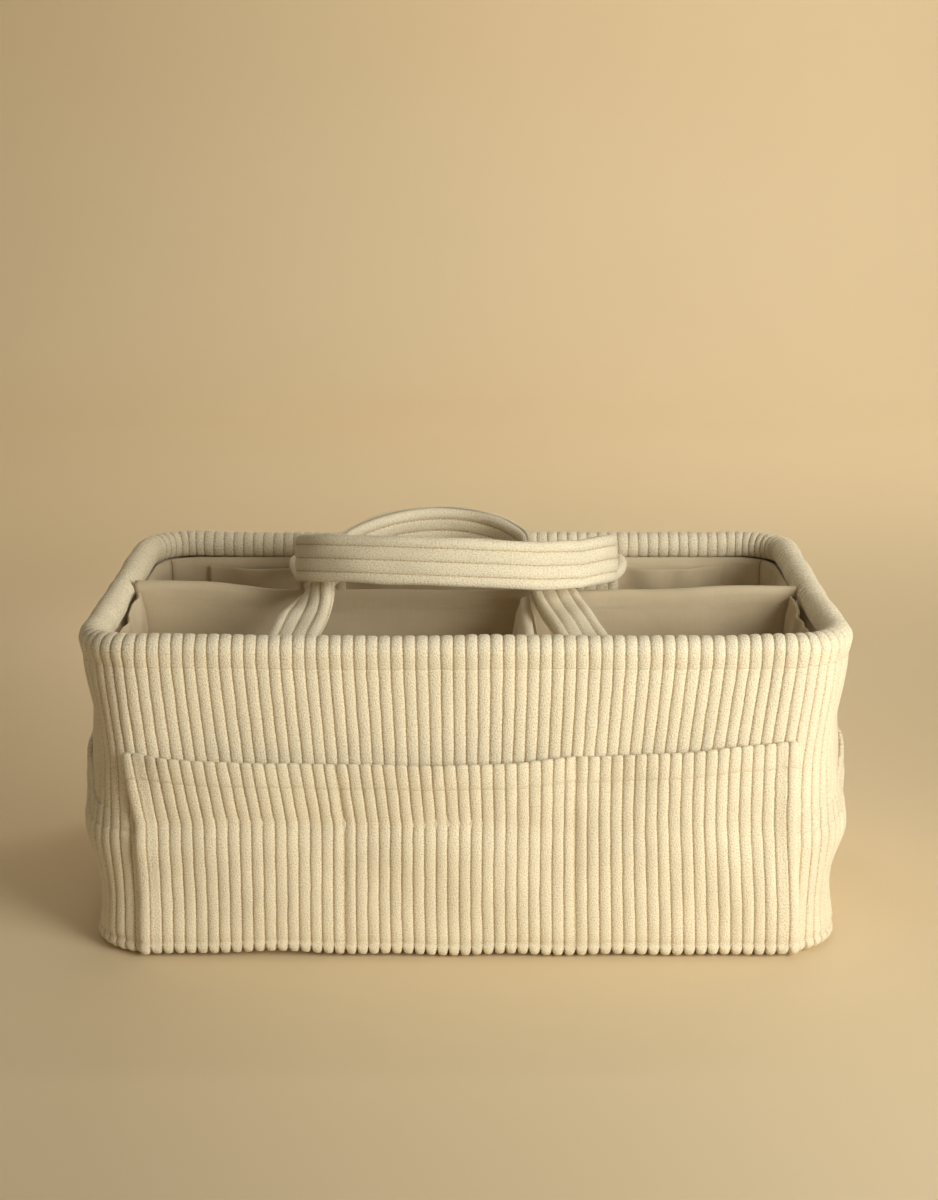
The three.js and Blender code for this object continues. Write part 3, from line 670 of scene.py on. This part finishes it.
POCKET_HALF = CENTRE_X + math.radians(12) * WALL_RADIUS
FRONT_SEAMS = tuple(round((x + POCKET_HALF) / PITCH) * PITCH - POCKET_HALF for x in (-60, 56))
FRONT_EDGE = np.polyfit([-155, -45, 155], [108, 104, 114], 2)
FRONT_GAPE, LEFT_GAPE, FRONT_WAVE = 2.6, 4.6, 0.4
CREASE_Z, CREASE_DEPTH, CREASE_FALL = 71.5, 2.0, 3
TOP_LEAN, FOOT_LEAN = -5.0, 4.2


def front_top(run):
    return np.polyval(FRONT_EDGE, run) + 0.25 * wave(run, 41, 60)


def front_gape(run):
    return FRONT_GAPE * smooth(nearest(run, (-POCKET_HALF, *FRONT_SEAMS, POCKET_HALF)), 2, 44)


def front_relief(run, z):
    """It is drawn in at the crease, most on the left, and stands out again below and at its mouth."""
    left = smooth(run, 70, -10)
    line = CREASE_Z + wave(run, 43, 140) - CREASE_FALL * (1 - left)
    crease = bell(z, line - 12, 9) - CREASE_DEPTH * np.exp(-np.abs(z - line) / 7)
    mouth = LEFT_GAPE * ramp(z, line, line + 36) * smooth(POCKET_HALF - np.abs(run), 0, 24)
    return (0.35 + 0.65 * left) * crease + left * mouth + FRONT_WAVE * ripple(run, z, 47, 70, 60)


def front_shift(run, z):
    """Wales lean outwards above the crease on the left, and below it on the right."""
    return TOP_LEAN * smooth(run, 75, -75) * ramp(z, 71, 114) + FOOT_LEAN * smooth(run, 20, 140) * ramp(z, 74, 2)


def front_arch(run):
    return 1.7 * bell(run, -98, 40) + 0.35 * wave(run, 45, 60) + 0.3


# The end pockets

END_HALF = 23 * PITCH
END_TOP, END_TOP_FALL = 83, 7
HEM_BULGE, LOW_HOLLOW = 4.2, 1.9


def end_shape(middle):
    """Upper edge, gape, relief and stand of an end pocket. It bulges near the hem towards the corners, is drawn in
    below, and lies flatter on the wall at its side edges."""
    def away(run):
        return np.abs(run - middle)

    def top(run):
        return END_TOP - END_TOP_FALL * smooth(away(run), 62, 112) + 0.8 * wave(run, 59 + int(middle > 0), 70)

    def relief(run, z):
        bulge = HEM_BULGE * bell(z, 60, 13) - LOW_HOLLOW * bell(z, 27, 15)
        return bell(away(run), 84, 26) * bulge + 0.3 * ripple(run, z, 53, 60, 50)

    return {"top_of": top, "gape_of": lambda run: dome(away(run), 96, 1.2), "relief": relief,
            "stand_of": lambda run: -1.1 - 1.6 * smooth(away(run), 40, 96)}


front_pocket, pocket_threads = build_pocket(
    "front_pocket_cloth", -POCKET_HALF, POCKET_HALF, FULL_HEM, front_top, front_gape, front_relief, front_shift,
    front_arch, seams=FRONT_SEAMS, welt=0.8)
place(front_pocket, corduroy, ["front_pocket"])
for name, middle in (("right_pocket", END_RUN), ("left_pocket", -END_RUN)):
    obj, threads = build_pocket(
        name + "_cloth", middle - END_HALF, middle + END_HALF, FLAT_HEM, **end_shape(middle))
    pocket_threads += threads
    place(obj, corduroy, [name])
sew("pocket_stitching", pocket_threads, thread)


# Base cover underneath, with its wales from front to back

BASE_INSET, BASE_Z, BASE_INNER_Z, BASE_PILE = 12.4, 1.0, 2.6, 0.95
BASE_ROWS, BASE_INNER_ROWS = 15, 5


def plate_reach(x, radius):
    """Half the depth of a plate with round corners, at a distance x from its middle."""
    into_corner = np.clip(np.abs(x) - CENTRE_X, 0, radius)
    return CENTRE_Y + np.sqrt(np.clip(radius**2 - into_corner**2, 0, None))


def build_base():
    radius = CORNER - BASE_INSET
    half = CENTRE_X + radius
    count = round(2 * half / PITCH)
    u = wale_columns(count)
    x = -half + 2 * half * u / count
    below = column(np.linspace(-1, 1, BASE_ROWS))
    level = np.vstack([below, column(np.linspace(1, -1, BASE_INNER_ROWS))])
    wales = wale_height(u) + 0 * below
    pile = BASE_PILE * wales * ramp(1 - np.abs(below), 0, 0.03)
    inner = np.ones((BASE_INNER_ROWS, len(u)))
    z = np.vstack([BASE_Z - pile, BASE_INNER_Z * inner])
    grid = spread(x[None], level * plate_reach(x, radius), z)
    return loft("base_cover_cloth", grid, grid[..., 0], grid[..., 1], np.vstack([wales, 0.6 * inner]))


base = place(build_base(), corduroy, ["base_cover"])


# Lining: four walls and the floor

LINING_ROWS = column(np.linspace(4, 140, 34), 143, 146, 148, 149.4, 150.4, 151.4)
LINING_BACK_ROWS = column(151.2, 148, 120, 80, 40, 4.4)
DRAPE_DEPTH, CREASES_DEPTH = 1.9, 0.35
LONG_HALF, SHORT_HALF = (centre + CORNER_RUN / 2 - 0.3 for centre in (CENTRE_X, CENTRE_Y))


def lining_folds(run, z, seed):
    """Slack of the lining, inwards only: slanting drapes that hang from the facing."""
    drape = ripple(run + 0.55 * (150 - z), z, seed, 58, 190)
    small = ripple(run, z, seed + 1, 21, 70)
    hang = smooth(z, 8, 40) * smooth(z, 150.2, 146)
    drape = DRAPE_DEPTH * np.clip(drape + 0.25, 0, 2) ** 1.3
    return hang * (drape + CREASES_DEPTH * np.clip(small, 0, 2) * smooth(z, 80, 148))


def taped(points):
    """One where tape is sewn to the lining, which lies flat there."""
    flat = np.zeros(points.shape[:-1])
    for node in ("front_loop_strip", "left_loop_patch", "right_loop_patch"):
        low, high = (np.array(corner) * 1000 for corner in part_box(node))
        away = np.linalg.norm(np.maximum(np.maximum(low - points, points - high), 0), axis=-1)
        flat = np.maximum(flat, smooth(away, 14, 3))
    return flat


def build_lining(name, middle, half, seed):
    run = middle + np.linspace(-half, half, int(half / 2.2))
    z, back_z = LINING_ROWS, LINING_BACK_ROWS
    seam = smooth(half - np.abs(run - middle), 0, 9)
    folds = lining_folds(run, z, seed) * seam * (1 - taped(lay(run, LINING_IN, z)))
    turn = 0.9 * (1 - np.sqrt(seam)) + 2.2 * smooth(z, 148.5, 151.4)
    front = lay(run, LINING_IN + 0.15 + turn * 0.6 - folds, z)
    back = lay(run, LINING_OUT + 0.35 * smooth(back_z, 148, 151.2), back_z)
    along = column(z[:, 0], 152 + np.arange(len(back_z)) * 30)
    return loft(name, np.vstack([front, back]), run[None], along)


for side, middle, half, seed in (
    ("front", 0, LONG_HALF, 61), ("right", END_RUN, SHORT_HALF, 67),
    ("back", BACK_RUN, LONG_HALF, 71), ("left", -END_RUN, SHORT_HALF, 79),
):
    obj = build_lining(f"{side}_lining_cloth", middle, half, seed)
    place(obj, lining_cloth, [f"{side}_lining"])


def build_floor():
    """A flat sheet whose rim is turned down."""
    rim_z, under_z, inner_rows = 5.9, 5.65, 60
    radius = CORNER + LINING_IN - 0.4
    half = CENTRE_X + radius
    x = np.r_[-half, np.linspace(-half + 0.8, half - 0.8, 150), half]
    level = column(-1, np.linspace(-0.99, 0.99, inner_rows), 1, 0.98, -0.98)
    z = column(rim_z, np.full(inner_rows, FLOOR_Z - 0.1), rim_z, under_z, under_z)
    ends = np.where((np.abs(x) > half - 0.5) & (z > 6), -0.8, 0)
    grid = spread(x[None], level * plate_reach(x, radius), z + ends)
    return loft("base_lining_cloth", grid, grid[..., 0], grid[..., 1])


floor_cloth = place(build_floor(), lining_cloth, ["base_lining"])


# Slip pockets in the lining

SLIP_ROWS, SLIP_FOOT = 30, FLOOR_Z + 4
SLIP_LEVELS = column(np.linspace(0, 0.9, SLIP_ROWS), 0.925, 0.95, 0.975, 0.99)
SLIP_BACK_LEVELS = column(0.985, 0.925, 0.9, 0.75, 0.5, 0.25, 0.02)
SLIP_FACE, SLIP_BACK, SLIP_ROLL = 2.6, 1.6, 0.8


def build_slip(name, start, end, top_of, fall_of, seed, drape=1.0):
    """A slip pocket: top_of gives its upper edge along it, and fall_of how far it hangs off the wall."""
    level, back_level = SLIP_LEVELS, SLIP_BACK_LEVELS
    share = np.linspace(0, 1, int(abs(end - start) / 1.6))
    run = start + (end - start) * share
    top = top_of(share)
    tall = top - SLIP_FOOT
    z = SLIP_FOOT + tall * level
    edge = smooth(np.minimum(share, 1 - share), 0, 0.06)
    wrinkle = (0.9 * ripple(run, z, seed, 34, 60) + 0.5 * ripple(run + 0.8 * z, z, seed + 1, 22, 60)) * drape
    wrinkle = np.clip(wrinkle, -0.5, 2) * edge * smooth(level, 0.05, 0.35)
    inside = LINING_IN - SLIP_FACE - fall_of(share, level) - wrinkle
    front = lay(run, inside - 0.45 * smooth(level, 0.895, 0.925), z)
    fold = np.radians(column(40, 90, 140))
    roll = lay(run, inside[-1] + 0.35 - SLIP_ROLL * np.cos(fold), top - SLIP_ROLL + SLIP_ROLL * np.sin(fold))
    behind = LINING_IN - SLIP_BACK - fall_of(share, back_level) - sample(back_level[:, 0], level[:, 0], wrinkle)
    back = lay(run, behind + 0.35 * smooth(back_level, 0.9, 0.925), SLIP_FOOT + tall * back_level)
    grid = np.vstack([front, roll, back])
    along = np.vstack([level * 130, column(131, 132, 133), 140 + (1 - back_level) * 130])
    outs = lay(run, -1, 0) - lay(run, 0, 0)
    obj = loft(name, grid, run[None], along)
    return obj, stitch_line(grid[SLIP_ROWS, 2:-2], outs[2:-2], *LINING_LINE)


def side_fall(mouth, belly):
    """A side pocket gapes at its mouth, and its loose rear edge swings in below the facing."""
    def fall(share, level):
        gape = mouth * np.sin(math.pi * np.minimum(share, 1 - share)) ** 0.8 * smooth(level, 0, 0.7)
        return gape + belly * smooth(share, 0.1, 1.0) * bell(level, 0.86, 0.11)
    return fall


slip_threads = []
SLIP_FRONT, SLIP_REAR = CENTRE_X + CORNER_RUN, END_RUN - 3.4
for name, sign, seed, mouth, belly, peak in (
    ("right_slip_pocket", 1, 83, 1.0, 4.5, 4.5), ("left_slip_pocket", -1, 89, 0.3, 4.5, 7.0),
):
    obj, threads = build_slip(
        name + "_cloth", sign * SLIP_FRONT, sign * SLIP_REAR,
        lambda t: RIM_TOP - 12.5 + peak * bell(t, 0.88, 0.3), side_fall(mouth, belly), seed)
    slip_threads += threads
    place(obj, lining_cloth, [name])

BACK_HALF, BACK_GAPE = CENTRE_X - 6, 6.6
STRAP_ENDS, STRAP_REACH = (-82.0, 76.0), 12.8


def back_fall(share, level):
    """The back pocket gapes between the straps' sewn ends."""
    x = BACK_HALF - 2 * BACK_HALF * share
    away = np.minimum(nearest(x, STRAP_ENDS) - STRAP_REACH, BACK_HALF - np.abs(x))
    return BACK_GAPE * smooth(away, 0, 26) * smooth(level, 0, 0.68)


obj, threads = build_slip(
    "back_slip_pocket_cloth", BACK_RUN - BACK_HALF, BACK_RUN + BACK_HALF,
    lambda t: RIM_TOP - 18 - 0.8 * np.sin(3 * math.pi * t) ** 2, back_fall, 97, 0.55)
slip_threads += threads
place(obj, lining_cloth, ["back_slip_pocket"])
sew("slip_pocket_stitching", slip_threads, lining_cloth)


# Long divider: a sleeve of cloth over its board

DIVIDER_HALF, DIVIDER_TOP, DIVIDER_FOOT = 175.6, 159.0, FLOOR_Z + 0.4
SLEEVE_OUT, SLEEVE_IN, SLEEVE_HEM_ROW = 2.5, 1.35, 26
LEFT_RISE, RIGHT_RISE = 4.8, 2.2


def build_long_divider():
    x = np.linspace(-DIVIDER_HALF, DIVIDER_HALF, 150)
    levels = column(np.linspace(0, 0.93, SLEEVE_HEM_ROW), 0.945, 0.955, 0.965, 0.985)
    top = DIVIDER_TOP + LEFT_RISE * smooth(x, -94, -140) + RIGHT_RISE * smooth(x, 92, 140) + 0.3 * wave(x, 101, 90)
    shoulder = top - SLEEVE_OUT
    tall = shoulder - DIVIDER_FOOT
    z = DIVIDER_FOOT + tall * levels
    calm = smooth(DIVIDER_HALF - np.abs(x), 0, 12) * smooth(levels, 0, 0.2)
    hem = 0.1 * smooth(levels, 0.945, 0.965) - 0.1 * bell(levels, 0.945, 0.008)

    def face(sign, dents):
        return spread(x[None], sign * (SLEEVE_OUT + hem + np.clip(dents * calm, -0.4, 2)), z)

    front = face(-1, 0.55 * ripple(x, z, 103, 70, 120))
    back = face(1, 0.5 * ripple(x, z, 107, 80, 120))[::-1]
    fold = np.radians(column(205, 240, 270, 300, 335))
    roll = spread(x[None], (SLEEVE_OUT + 0.3) * np.cos(fold), shoulder - SLEEVE_OUT * np.sin(fold))
    inside_z = DIVIDER_FOOT + tall * column(0, 0.5, 1)
    inner_top = spread(x, 0.0, shoulder + SLEEVE_IN)[None]
    grid = np.vstack([
        front, roll, back, spread(x[None], SLEEVE_IN, inside_z), inner_top,
        spread(x[None], -SLEEVE_IN, inside_z)[::-1]])
    obj = loft("long_divider_sleeve", grid, x[None], column(np.arange(len(grid)) * 5.0))
    outs = np.tile([0, -1.0, 0], (len(x) - 4, 1))
    back_row = 2 * len(front) + len(roll) - 1 - SLEEVE_HEM_ROW
    threads = stitch_line(grid[SLEEVE_HEM_ROW, 2:-2], outs, *LINING_LINE)
    return obj, threads + stitch_line(grid[back_row, 2:-2], -outs, *LINING_LINE)


sleeve, threads = build_long_divider()
place(sleeve, divider_cloth, ["long_divider_cover"])
sew("long_divider_stitching", threads, divider_cloth)


# Cross divider: a soft pad that is thin at its ridge

CROSS_START, CROSS_END, CROSS_X = -102.2, -6.7, 32.0
CROSS_TOP, CROSS_FOOT = 158.0, FLOOR_Z + 0.5
# Half its thickness up each side, at shares of its height.
CROSS_KNOTS = (0, 0.12, 0.5, 0.84, 0.92, 0.97, 1)
CROSS_HALVES = {-1: (4.3, 5.6, 6.8, 7.4, 6.8, 5.4, 3.4), 1: (4.3, 5.6, 6.5, 6.7, 5.4, 3.7, 2.2)}


def build_cross_divider():
    y = np.linspace(CROSS_START, CROSS_END, 60)
    share = (y - CROSS_START) / (CROSS_END - CROSS_START)
    ends = smooth(np.minimum(share, 1 - share), 0, 0.08)
    levels = column(np.linspace(0, 1, 30))
    z = CROSS_FOOT + (CROSS_TOP - 3 - CROSS_FOOT) * levels
    flare = smooth(share, 0.1, 0) * smooth(levels, 0.8, 1)
    # Its ridge dips in the middle, and rises at the front wall and falls at the long divider.
    dip = 1.2 * np.sin(math.pi * share) + 0.3 * wave(y, 113, 40) - 4.5 * smooth(share, 0.13, 0)
    dip = dip + 2.5 * smooth(share, 0.94, 1) ** 2

    def side(sign, seed):
        pulls = 0.8 * ripple(y + 0.4 * z, z, seed, 40, 70) * ends
        pulls = pulls * smooth(levels, 0.05, 0.3) * smooth(levels, 1, 0.9)
        crown = np.interp(levels, CROSS_KNOTS, CROSS_HALVES[sign]) * (0.86 + 0.14 * ends) + (4 - 2 * sign) * flare
        x = CROSS_X + sign * (crown + np.clip(pulls, -0.9, 0.9))
        return spread(x, y[None], z - dip * smooth(levels, 0.7, 1))

    fold = np.radians(column(160, 125, 90, 55, 20))
    ridge = spread(
        CROSS_X - 0.6 - 2 * flare[-1] + (2.8 + 4 * flare[-1]) * np.cos(fold), y[None],
        CROSS_TOP - 2.6 + 2.6 * np.sin(fold) - dip * (0.4 + 0.6 * np.sin(fold)))
    grid = np.vstack([side(-1, 109), ridge, side(1, 127)[::-1]])
    return loft("cross_divider_cushion", grid, y[None], column(np.arange(len(grid)) * 5.0))


cross = place(build_cross_divider(), painted_lit_cushion_cloth, ["cross_divider_cover", "cross_divider_pad"],
              "cross_divider")


# Hook and loop tape

TAPE_LEVELS = column(0, 0.25, 0.75, 1, 1, 0.75, 0.25, 0)
TAPE_EDGE = column(0.6, 0, 0, 0.6, 0.6, 0, 0, 0.6)
TAPE_LOW = column(np.arange(8)) < 4
TAPE_CORNER, TAPE_INSET, TAPE_BOW = 1.2, 0.06, 0.1


def build_tape(node, material, body):
    """A strip with rounded edges that fills the box of its node."""
    low, high = (np.array(v) * 1000 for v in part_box(node))
    size = high - low
    thin = int(np.argmin(size))
    a_axis, b_axis = [k for k in range(3) if k != thin]
    length = size[a_axis]
    steps = np.linspace(0, 1, max(int(length / 4), 6))
    a = np.r_[0, TAPE_CORNER + (length - 2 * TAPE_CORNER) * steps, length]
    inset = TAPE_EDGE + np.where(np.minimum(a, length - a) < 0.5, 0.4, 0)
    through = np.where(TAPE_LOW, TAPE_INSET + inset, size[thin] - TAPE_INSET - inset)
    grid = np.zeros((len(TAPE_LEVELS), len(a), 3))
    grid[..., a_axis] = low[a_axis] + a
    grid[..., b_axis] = low[b_axis] + TAPE_LEVELS * size[b_axis]
    grid[..., thin] = low[thin] + through + np.clip(TAPE_BOW * wave(a, 131, 30), 0, 0.05)
    place(loft(node + "_strip", grid, grid[..., a_axis], grid[..., b_axis]), material, [node], body)


for body, nodes in (
    ("caddy", ("left_loop_patch", "right_loop_patch", "left_hook_tab", "right_hook_tab", "front_loop_strip",
               "divider_loop_strip")),
    ("cross_divider", ("cross_front_hook_tab", "cross_rear_hook_tab")),
):
    for node in nodes:
        build_tape(node, loop_tape if "loop" in node else hook_tape, body)


# Carrying straps

STRAP_WIDTH, STRAP_THICK = 25.0, 7.0
STRAP_Y, STRAP_Z, STRAP_TAB_FOOT = 100.3, 151.0, 118.0
STRAP_WALL, STRAP_BEND = 1.9, 7.0
STRAP_WALES = 8
STRAP_CUTS = np.array([0, 0.09, 0.28, 0.5, 0.72, 0.91])
STRAP_PILE, STRAP_WAVE, PRESSED = 0.85, 0.25, 0.78
BOX_HALF, BOX_RISE = 8.5, 12
BOX_CORNERS = ((-1, -1), (1, -1), (1, 1), (-1, 1))
BOX_LINES = ((0, 1), (1, 2), (2, 3), (3, 0), (0, 2), (1, 3))


def strap_section():
    """Points round a strap with its grooves along it, their normals, the pile's share and the length to each."""
    across, through, corner = STRAP_WIDTH / 2 - 0.75, STRAP_THICK / 2 - 0.65, 2.5
    quarter = np.radians(np.linspace(0, 90, 9))
    line = [np.array([[across, 0.0]])]
    for k, (sa, st) in enumerate(((1, 1), (-1, 1), (-1, -1), (1, -1))):
        a = quarter + k * math.pi / 2
        line.append(spread(sa * (across - corner) + corner * np.cos(a), st * (through - corner) + corner * np.sin(a)))
    line = np.vstack(line + line[:1])
    run = distances(line)
    u = (np.arange(STRAP_WALES)[:, None] + STRAP_CUTS).ravel()
    where = u / STRAP_WALES * run[-1]
    tangent = sample(np.mod(where + 0.3, run[-1]), run, line) - sample(np.mod(where - 0.3, run[-1]), run, line)
    normal = unit(spread(tangent[:, 1], -tangent[:, 0]))
    return sample(where, run, line), normal, wale_height(u)[:, None], where[:, None]


def strap_half(widths, reach, bow):
    """One leg and half the loop. widths holds the distance from the middle at the hinge and at the loop, and how
    far from the hinge the strap is drawn in to that."""
    near, far, drawn_in = widths
    leg_end = reach - bow
    leg = np.linspace(4, leg_end, 90)
    a = np.linspace(0, math.pi / 2, 60)[1:]
    y = np.r_[leg, leg_end + bow * np.sin(a)]
    x = (near + (far - near) * ramp(y, 0, drawn_in)) * np.r_[np.ones(len(leg)), np.cos(a)]
    return spread(x, y, 0.0)


def strap_path(left, right, reach, bow, lift, rest):
    """Centre, across and through along a strap, in the frame of its hinge and as it lies at rest.

    left and right hold the widths of a leg and how far from the hinge its twist starts and ends. lift gives how
    much the slack strap rises or sags at a point."""
    path = np.vstack([
        strap_half(left[0], reach, bow) * [-1, 1, 1], strap_half(right[0], reach, bow)[-2::-1]])
    run = distances(path)
    centre = sample(np.linspace(0, run[-1], int(run[-1] / 2.0)), run, path)
    for k in (0, 1):
        centre[4:-4, k] = np.convolve(centre[:, k], np.ones(9) / 9, "valid")
    x, y = centre[:, 0], centre[:, 1]
    centre[:, 2] = lift(x, y)
    tangent = unit(np.gradient(centre, axis=0))
    outward = unit(np.cross([0, 0, 1.0], tangent))
    on_edge = np.where(x < 0, smooth(y, *left[1]), smooth(y, *right[1]))
    turn = math.pi / 2 * (1 - on_edge)[:, None]
    across = np.cross(tangent, outward) * np.cos(turn) - outward * np.sin(turn)
    through = np.cross(tangent, across)
    # Into the frame of the caddy's axes, with the hinge as the origin.
    cos, sin = math.cos(rest), math.sin(rest)
    tilt = np.array([[1, 0, 0], [0, cos, -sin], [0, sin, cos]])
    centre, across, through = (v @ tilt.T for v in (centre, across, through))
    # The sewn end rises along the wall and bends over to the leg.
    bend = np.linspace(math.pi / 2, rest, 12)[:-1]
    start_z = -STRAP_WALL / cos * sin - STRAP_BEND * math.tan((math.pi / 2 - rest) / 2)
    rise = np.linspace(STRAP_TAB_FOOT - STRAP_Z, start_z, 14)[:-1]
    angle = np.r_[np.full(len(rise), math.pi / 2), bend]
    end_z = np.r_[rise, start_z + STRAP_BEND * np.cos(bend)]
    end = spread(0.0, STRAP_BEND - STRAP_WALL - STRAP_BEND * np.sin(angle), end_z)
    end_across = np.tile([1.0, 0, 0], (len(angle), 1))
    end_through = spread(0.0, np.sin(angle), -np.cos(angle))
    left_end, right_end = end + [centre[0, 0], 0, 0], end + [centre[-1, 0], 0, 0]
    return (np.vstack([left_end, centre, right_end[::-1]]), np.vstack([end_across, across, -end_across[::-1]]),
            np.vstack([end_through, through, end_through[::-1]]))


def build_strap(name, sign, shift, path):
    centre, across, through = strap_path(*path)
    points, normal, height, around = strap_section()
    run = distances(centre)
    ends = np.minimum(run, run[-1] - run)
    # Sewn ends are pressed flat, and the cloth swells a little between them.
    press = PRESSED + (1 - PRESSED) * smooth(ends, 6, 44)
    close = 0.25 + 0.75 * np.sqrt(ramp(ends, 0, 1.4))
    pile = STRAP_PILE * height + STRAP_WAVE * ripple(run[None], around * 3, 137 + int(sign), 45, 60)
    a = (points[:, :1] + normal[:, :1] * pile) * (0.94 + 0.06 * close)
    t = (points[:, 1:] + normal[:, 1:] * pile) * press * close
    grid = centre + a[..., None] * across + t[..., None] * through
    if sign > 0:
        grid = grid * [-1, -1, 1]
    grid = grid + [shift, sign * STRAP_Y, STRAP_Z]
    obj = loft(name + "_strap", grid, around, run[None], height)
    # A box with a cross is sewn through each end.
    threads = []
    y = sign * (STRAP_Y + STRAP_WALL - (STRAP_THICK / 2 * PRESSED + 0.25))
    for hand, leg in zip((-1, 1), path):
        x = shift + hand * leg[0][0]
        corners = [(x + BOX_HALF * i, y, STRAP_TAB_FOOT + BOX_RISE + BOX_HALF * j) for i, j in BOX_CORNERS]
        for i, j in BOX_LINES:
            threads += stitch_line([corners[i], corners[j]], [[0, -sign, 0]] * 2, *BOX_LINE)
    return obj, threads


def front_lift(x, y):
    return -2.2 * bell(y, 58, 20)


def back_lift(x, y):
    """The bar leans on the front strap: it sags towards the right, and its right end turns up. Here right is -x."""
    sag = np.interp(-x, [-83, -50, 0, 40, 60, 72, 80], [1.5, 0.6, -1.2, -2.8, -2.2, 0.2, 1.4])
    return sag * smooth(y, 88, 138)


strap_threads = []
for name, sign, shift, path in (
    ("front_handle", -1, -13,
     (((75, 57, 125), (36, 108)), ((75, 51, 104), (62, 122)), 148, 60, front_lift, math.radians(12.5))),
    ("back_handle", 1, -3,
     (((79, 79, 100), (48, 104)), ((79, 83, 100), (48, 104)), 168, 50, back_lift, math.radians(13.5))),
):
    strap, threads = build_strap(name, sign, shift, path)
    strap_threads += threads
    dress(strap, corduroy)
    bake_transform(strap)
    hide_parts(f"{name}_cover", f"{name}_core", f"{name}_left_tab", f"{name}_right_tab")
sew("strap_end_stitching", strap_threads, thread)


# CAD nodes that stay: what fills the walls, the rim, the base and the divider

for nodes, material in (
    (("base_board", "long_divider_board"), board_finish),
    (("rim_cord", "front_foam", "back_foam", "left_foam", "right_foam"), foam_finish),
):
    for node in nodes:
        dress(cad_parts[node], material)


# Floor, light and camera

BACKGROUND = srgb(205, 180, 139)
WORLD_LIGHT, WORLD_STRENGTH = (1.0, 0.93, 0.79, 1), 0.2
# Name, location, target, size, watts, colour and cone of each lamp.
LAMPS = (
    ("key", (0.66, -0.74, 0.42), (0.0, 0, 0.1), 0.62, 2.8, (0.98, 0.985, 0.96), 90),
    ("back_fill", (-0.2, 0.85, 0.32), (-0.02, 0.12, 0.08), 0.3, 0.36, (1.0, 0.97, 0.92), 75),
    ("fill", (-0.9, -0.9, 1.0), (0, 0, 0.1), 1.2, 0.5, (1.0, 0.97, 0.92), 180),
    ("backdrop_light", (0.7, 0.9, 1.5), (0.5, 2.0, 0.6), 0.8, 19, (1.0, 0.98, 0.94), 180),
)
# The photograph's camera, fitted to the rim and the bottom edge.
FRAME_WIDTH, FOCAL, SENSOR = 938, 2080.0, 36
CAMERA = (0.0017, -1.073, 0.432)
PITCH_DOWN = math.radians(14.56)


def seen(n):
    """One for rays that show the background: from the camera, and by way of a gloss or a glass."""
    camera, gloss, glass = (
        n.add("LightPath", out=f"Is {kind} Ray") for kind in ("Camera", "Glossy", "Transmission"))
    return n.math("MAXIMUM", n.math("MAXIMUM", camera, gloss), glass)


def floor_material():
    """Pale and matt, and far from the caddy plainly the colour of the background."""
    n = Nodes(bpy.data.materials.new("studio_floor"))
    where = n.add("TexCoord", out="Object")
    n.set(Base_Color=n.mix(n.noise(where, 3, 2), srgb(229, 208, 169), srgb(225, 203, 163)), Roughness=0.9)
    x, y = (n.add("SeparateXYZ", {0: where}, axis) for axis in "XY")
    aside = n.span(n.math("ABSOLUTE", x, 0.0), 0.75, 1.7, 0, 1)
    ahead = n.span(y, -0.4, -1.2, 0, 1)
    far = n.math("MULTIPLY", n.math("MAXIMUM", aside, ahead), seen(n))
    plain = n.add("Emission", {"Color": BACKGROUND, "Strength": 1.0})
    blend = n.add("MixShader", {0: far, 1: n.shader.outputs["BSDF"], 2: plain})
    n.feed(n.tree.nodes["Material Output"].inputs["Surface"], blend)
    return n.owner


def build_stage():
    """A pale floor that curves up into a backdrop."""
    front, back, bend, high, half = -4000.0, 1500.0, 500.0, 3000.0, 4000.0
    curve = arc(back, bend, bend, bend, -90, 0, 13)
    side = np.vstack([[front, 0], curve, [back + bend, high]])
    points = np.array([[x, y, z - 0.1] for y, z in side for x in (-half, half)])
    faces = [[2 * k, 2 * k + 1, 2 * k + 3, 2 * k + 2] for k in range(len(side) - 1)]
    obj = make_mesh("studio_floor", points, faces, points[:, :2])
    dress(obj, floor_material())


def add_lamp(name, location, target, size, watts, colour, cone):
    light = bpy.data.lights.new(name, "AREA")
    light.shape, light.size, light.energy, light.color = "DISK", size, watts, colour
    light.spread = math.radians(cone)
    obj = bpy.data.objects.new(name, light)
    obj.location = location
    obj.rotation_euler = (Vector(target) - obj.location).to_track_quat("-Z", "Y").to_euler()
    bpy.context.scene.collection.objects.link(obj)


def add_world():
    n = Nodes(bpy.data.worlds.new("studio"))
    light = n.tree.nodes["Background"]
    n.feed(light.inputs["Color"], WORLD_LIGHT)
    n.feed(light.inputs["Strength"], WORLD_STRENGTH)
    shown = n.add("Background", {"Color": BACKGROUND})
    blend = n.add("MixShader", {0: seen(n), 1: light.outputs["Background"], 2: shown})
    n.feed(n.tree.nodes["World Output"].inputs["Surface"], blend)
    bpy.context.scene.world = n.owner


def add_camera():
    data = bpy.data.cameras.new("camera")
    data.sensor_fit, data.sensor_width = "HORIZONTAL", SENSOR
    data.lens = FOCAL / FRAME_WIDTH * SENSOR
    camera = bpy.data.objects.new("camera", data)
    camera.location = CAMERA
    camera.rotation_euler = (math.pi / 2 - PITCH_DOWN, 0, 0)
    bpy.context.scene.collection.objects.link(camera)
    bpy.context.scene.camera = camera


build_stage()
for lamp in LAMPS:
    add_lamp(*lamp)
add_world()
add_camera()
bpy.context.scene.view_settings.view_transform = "Standard"
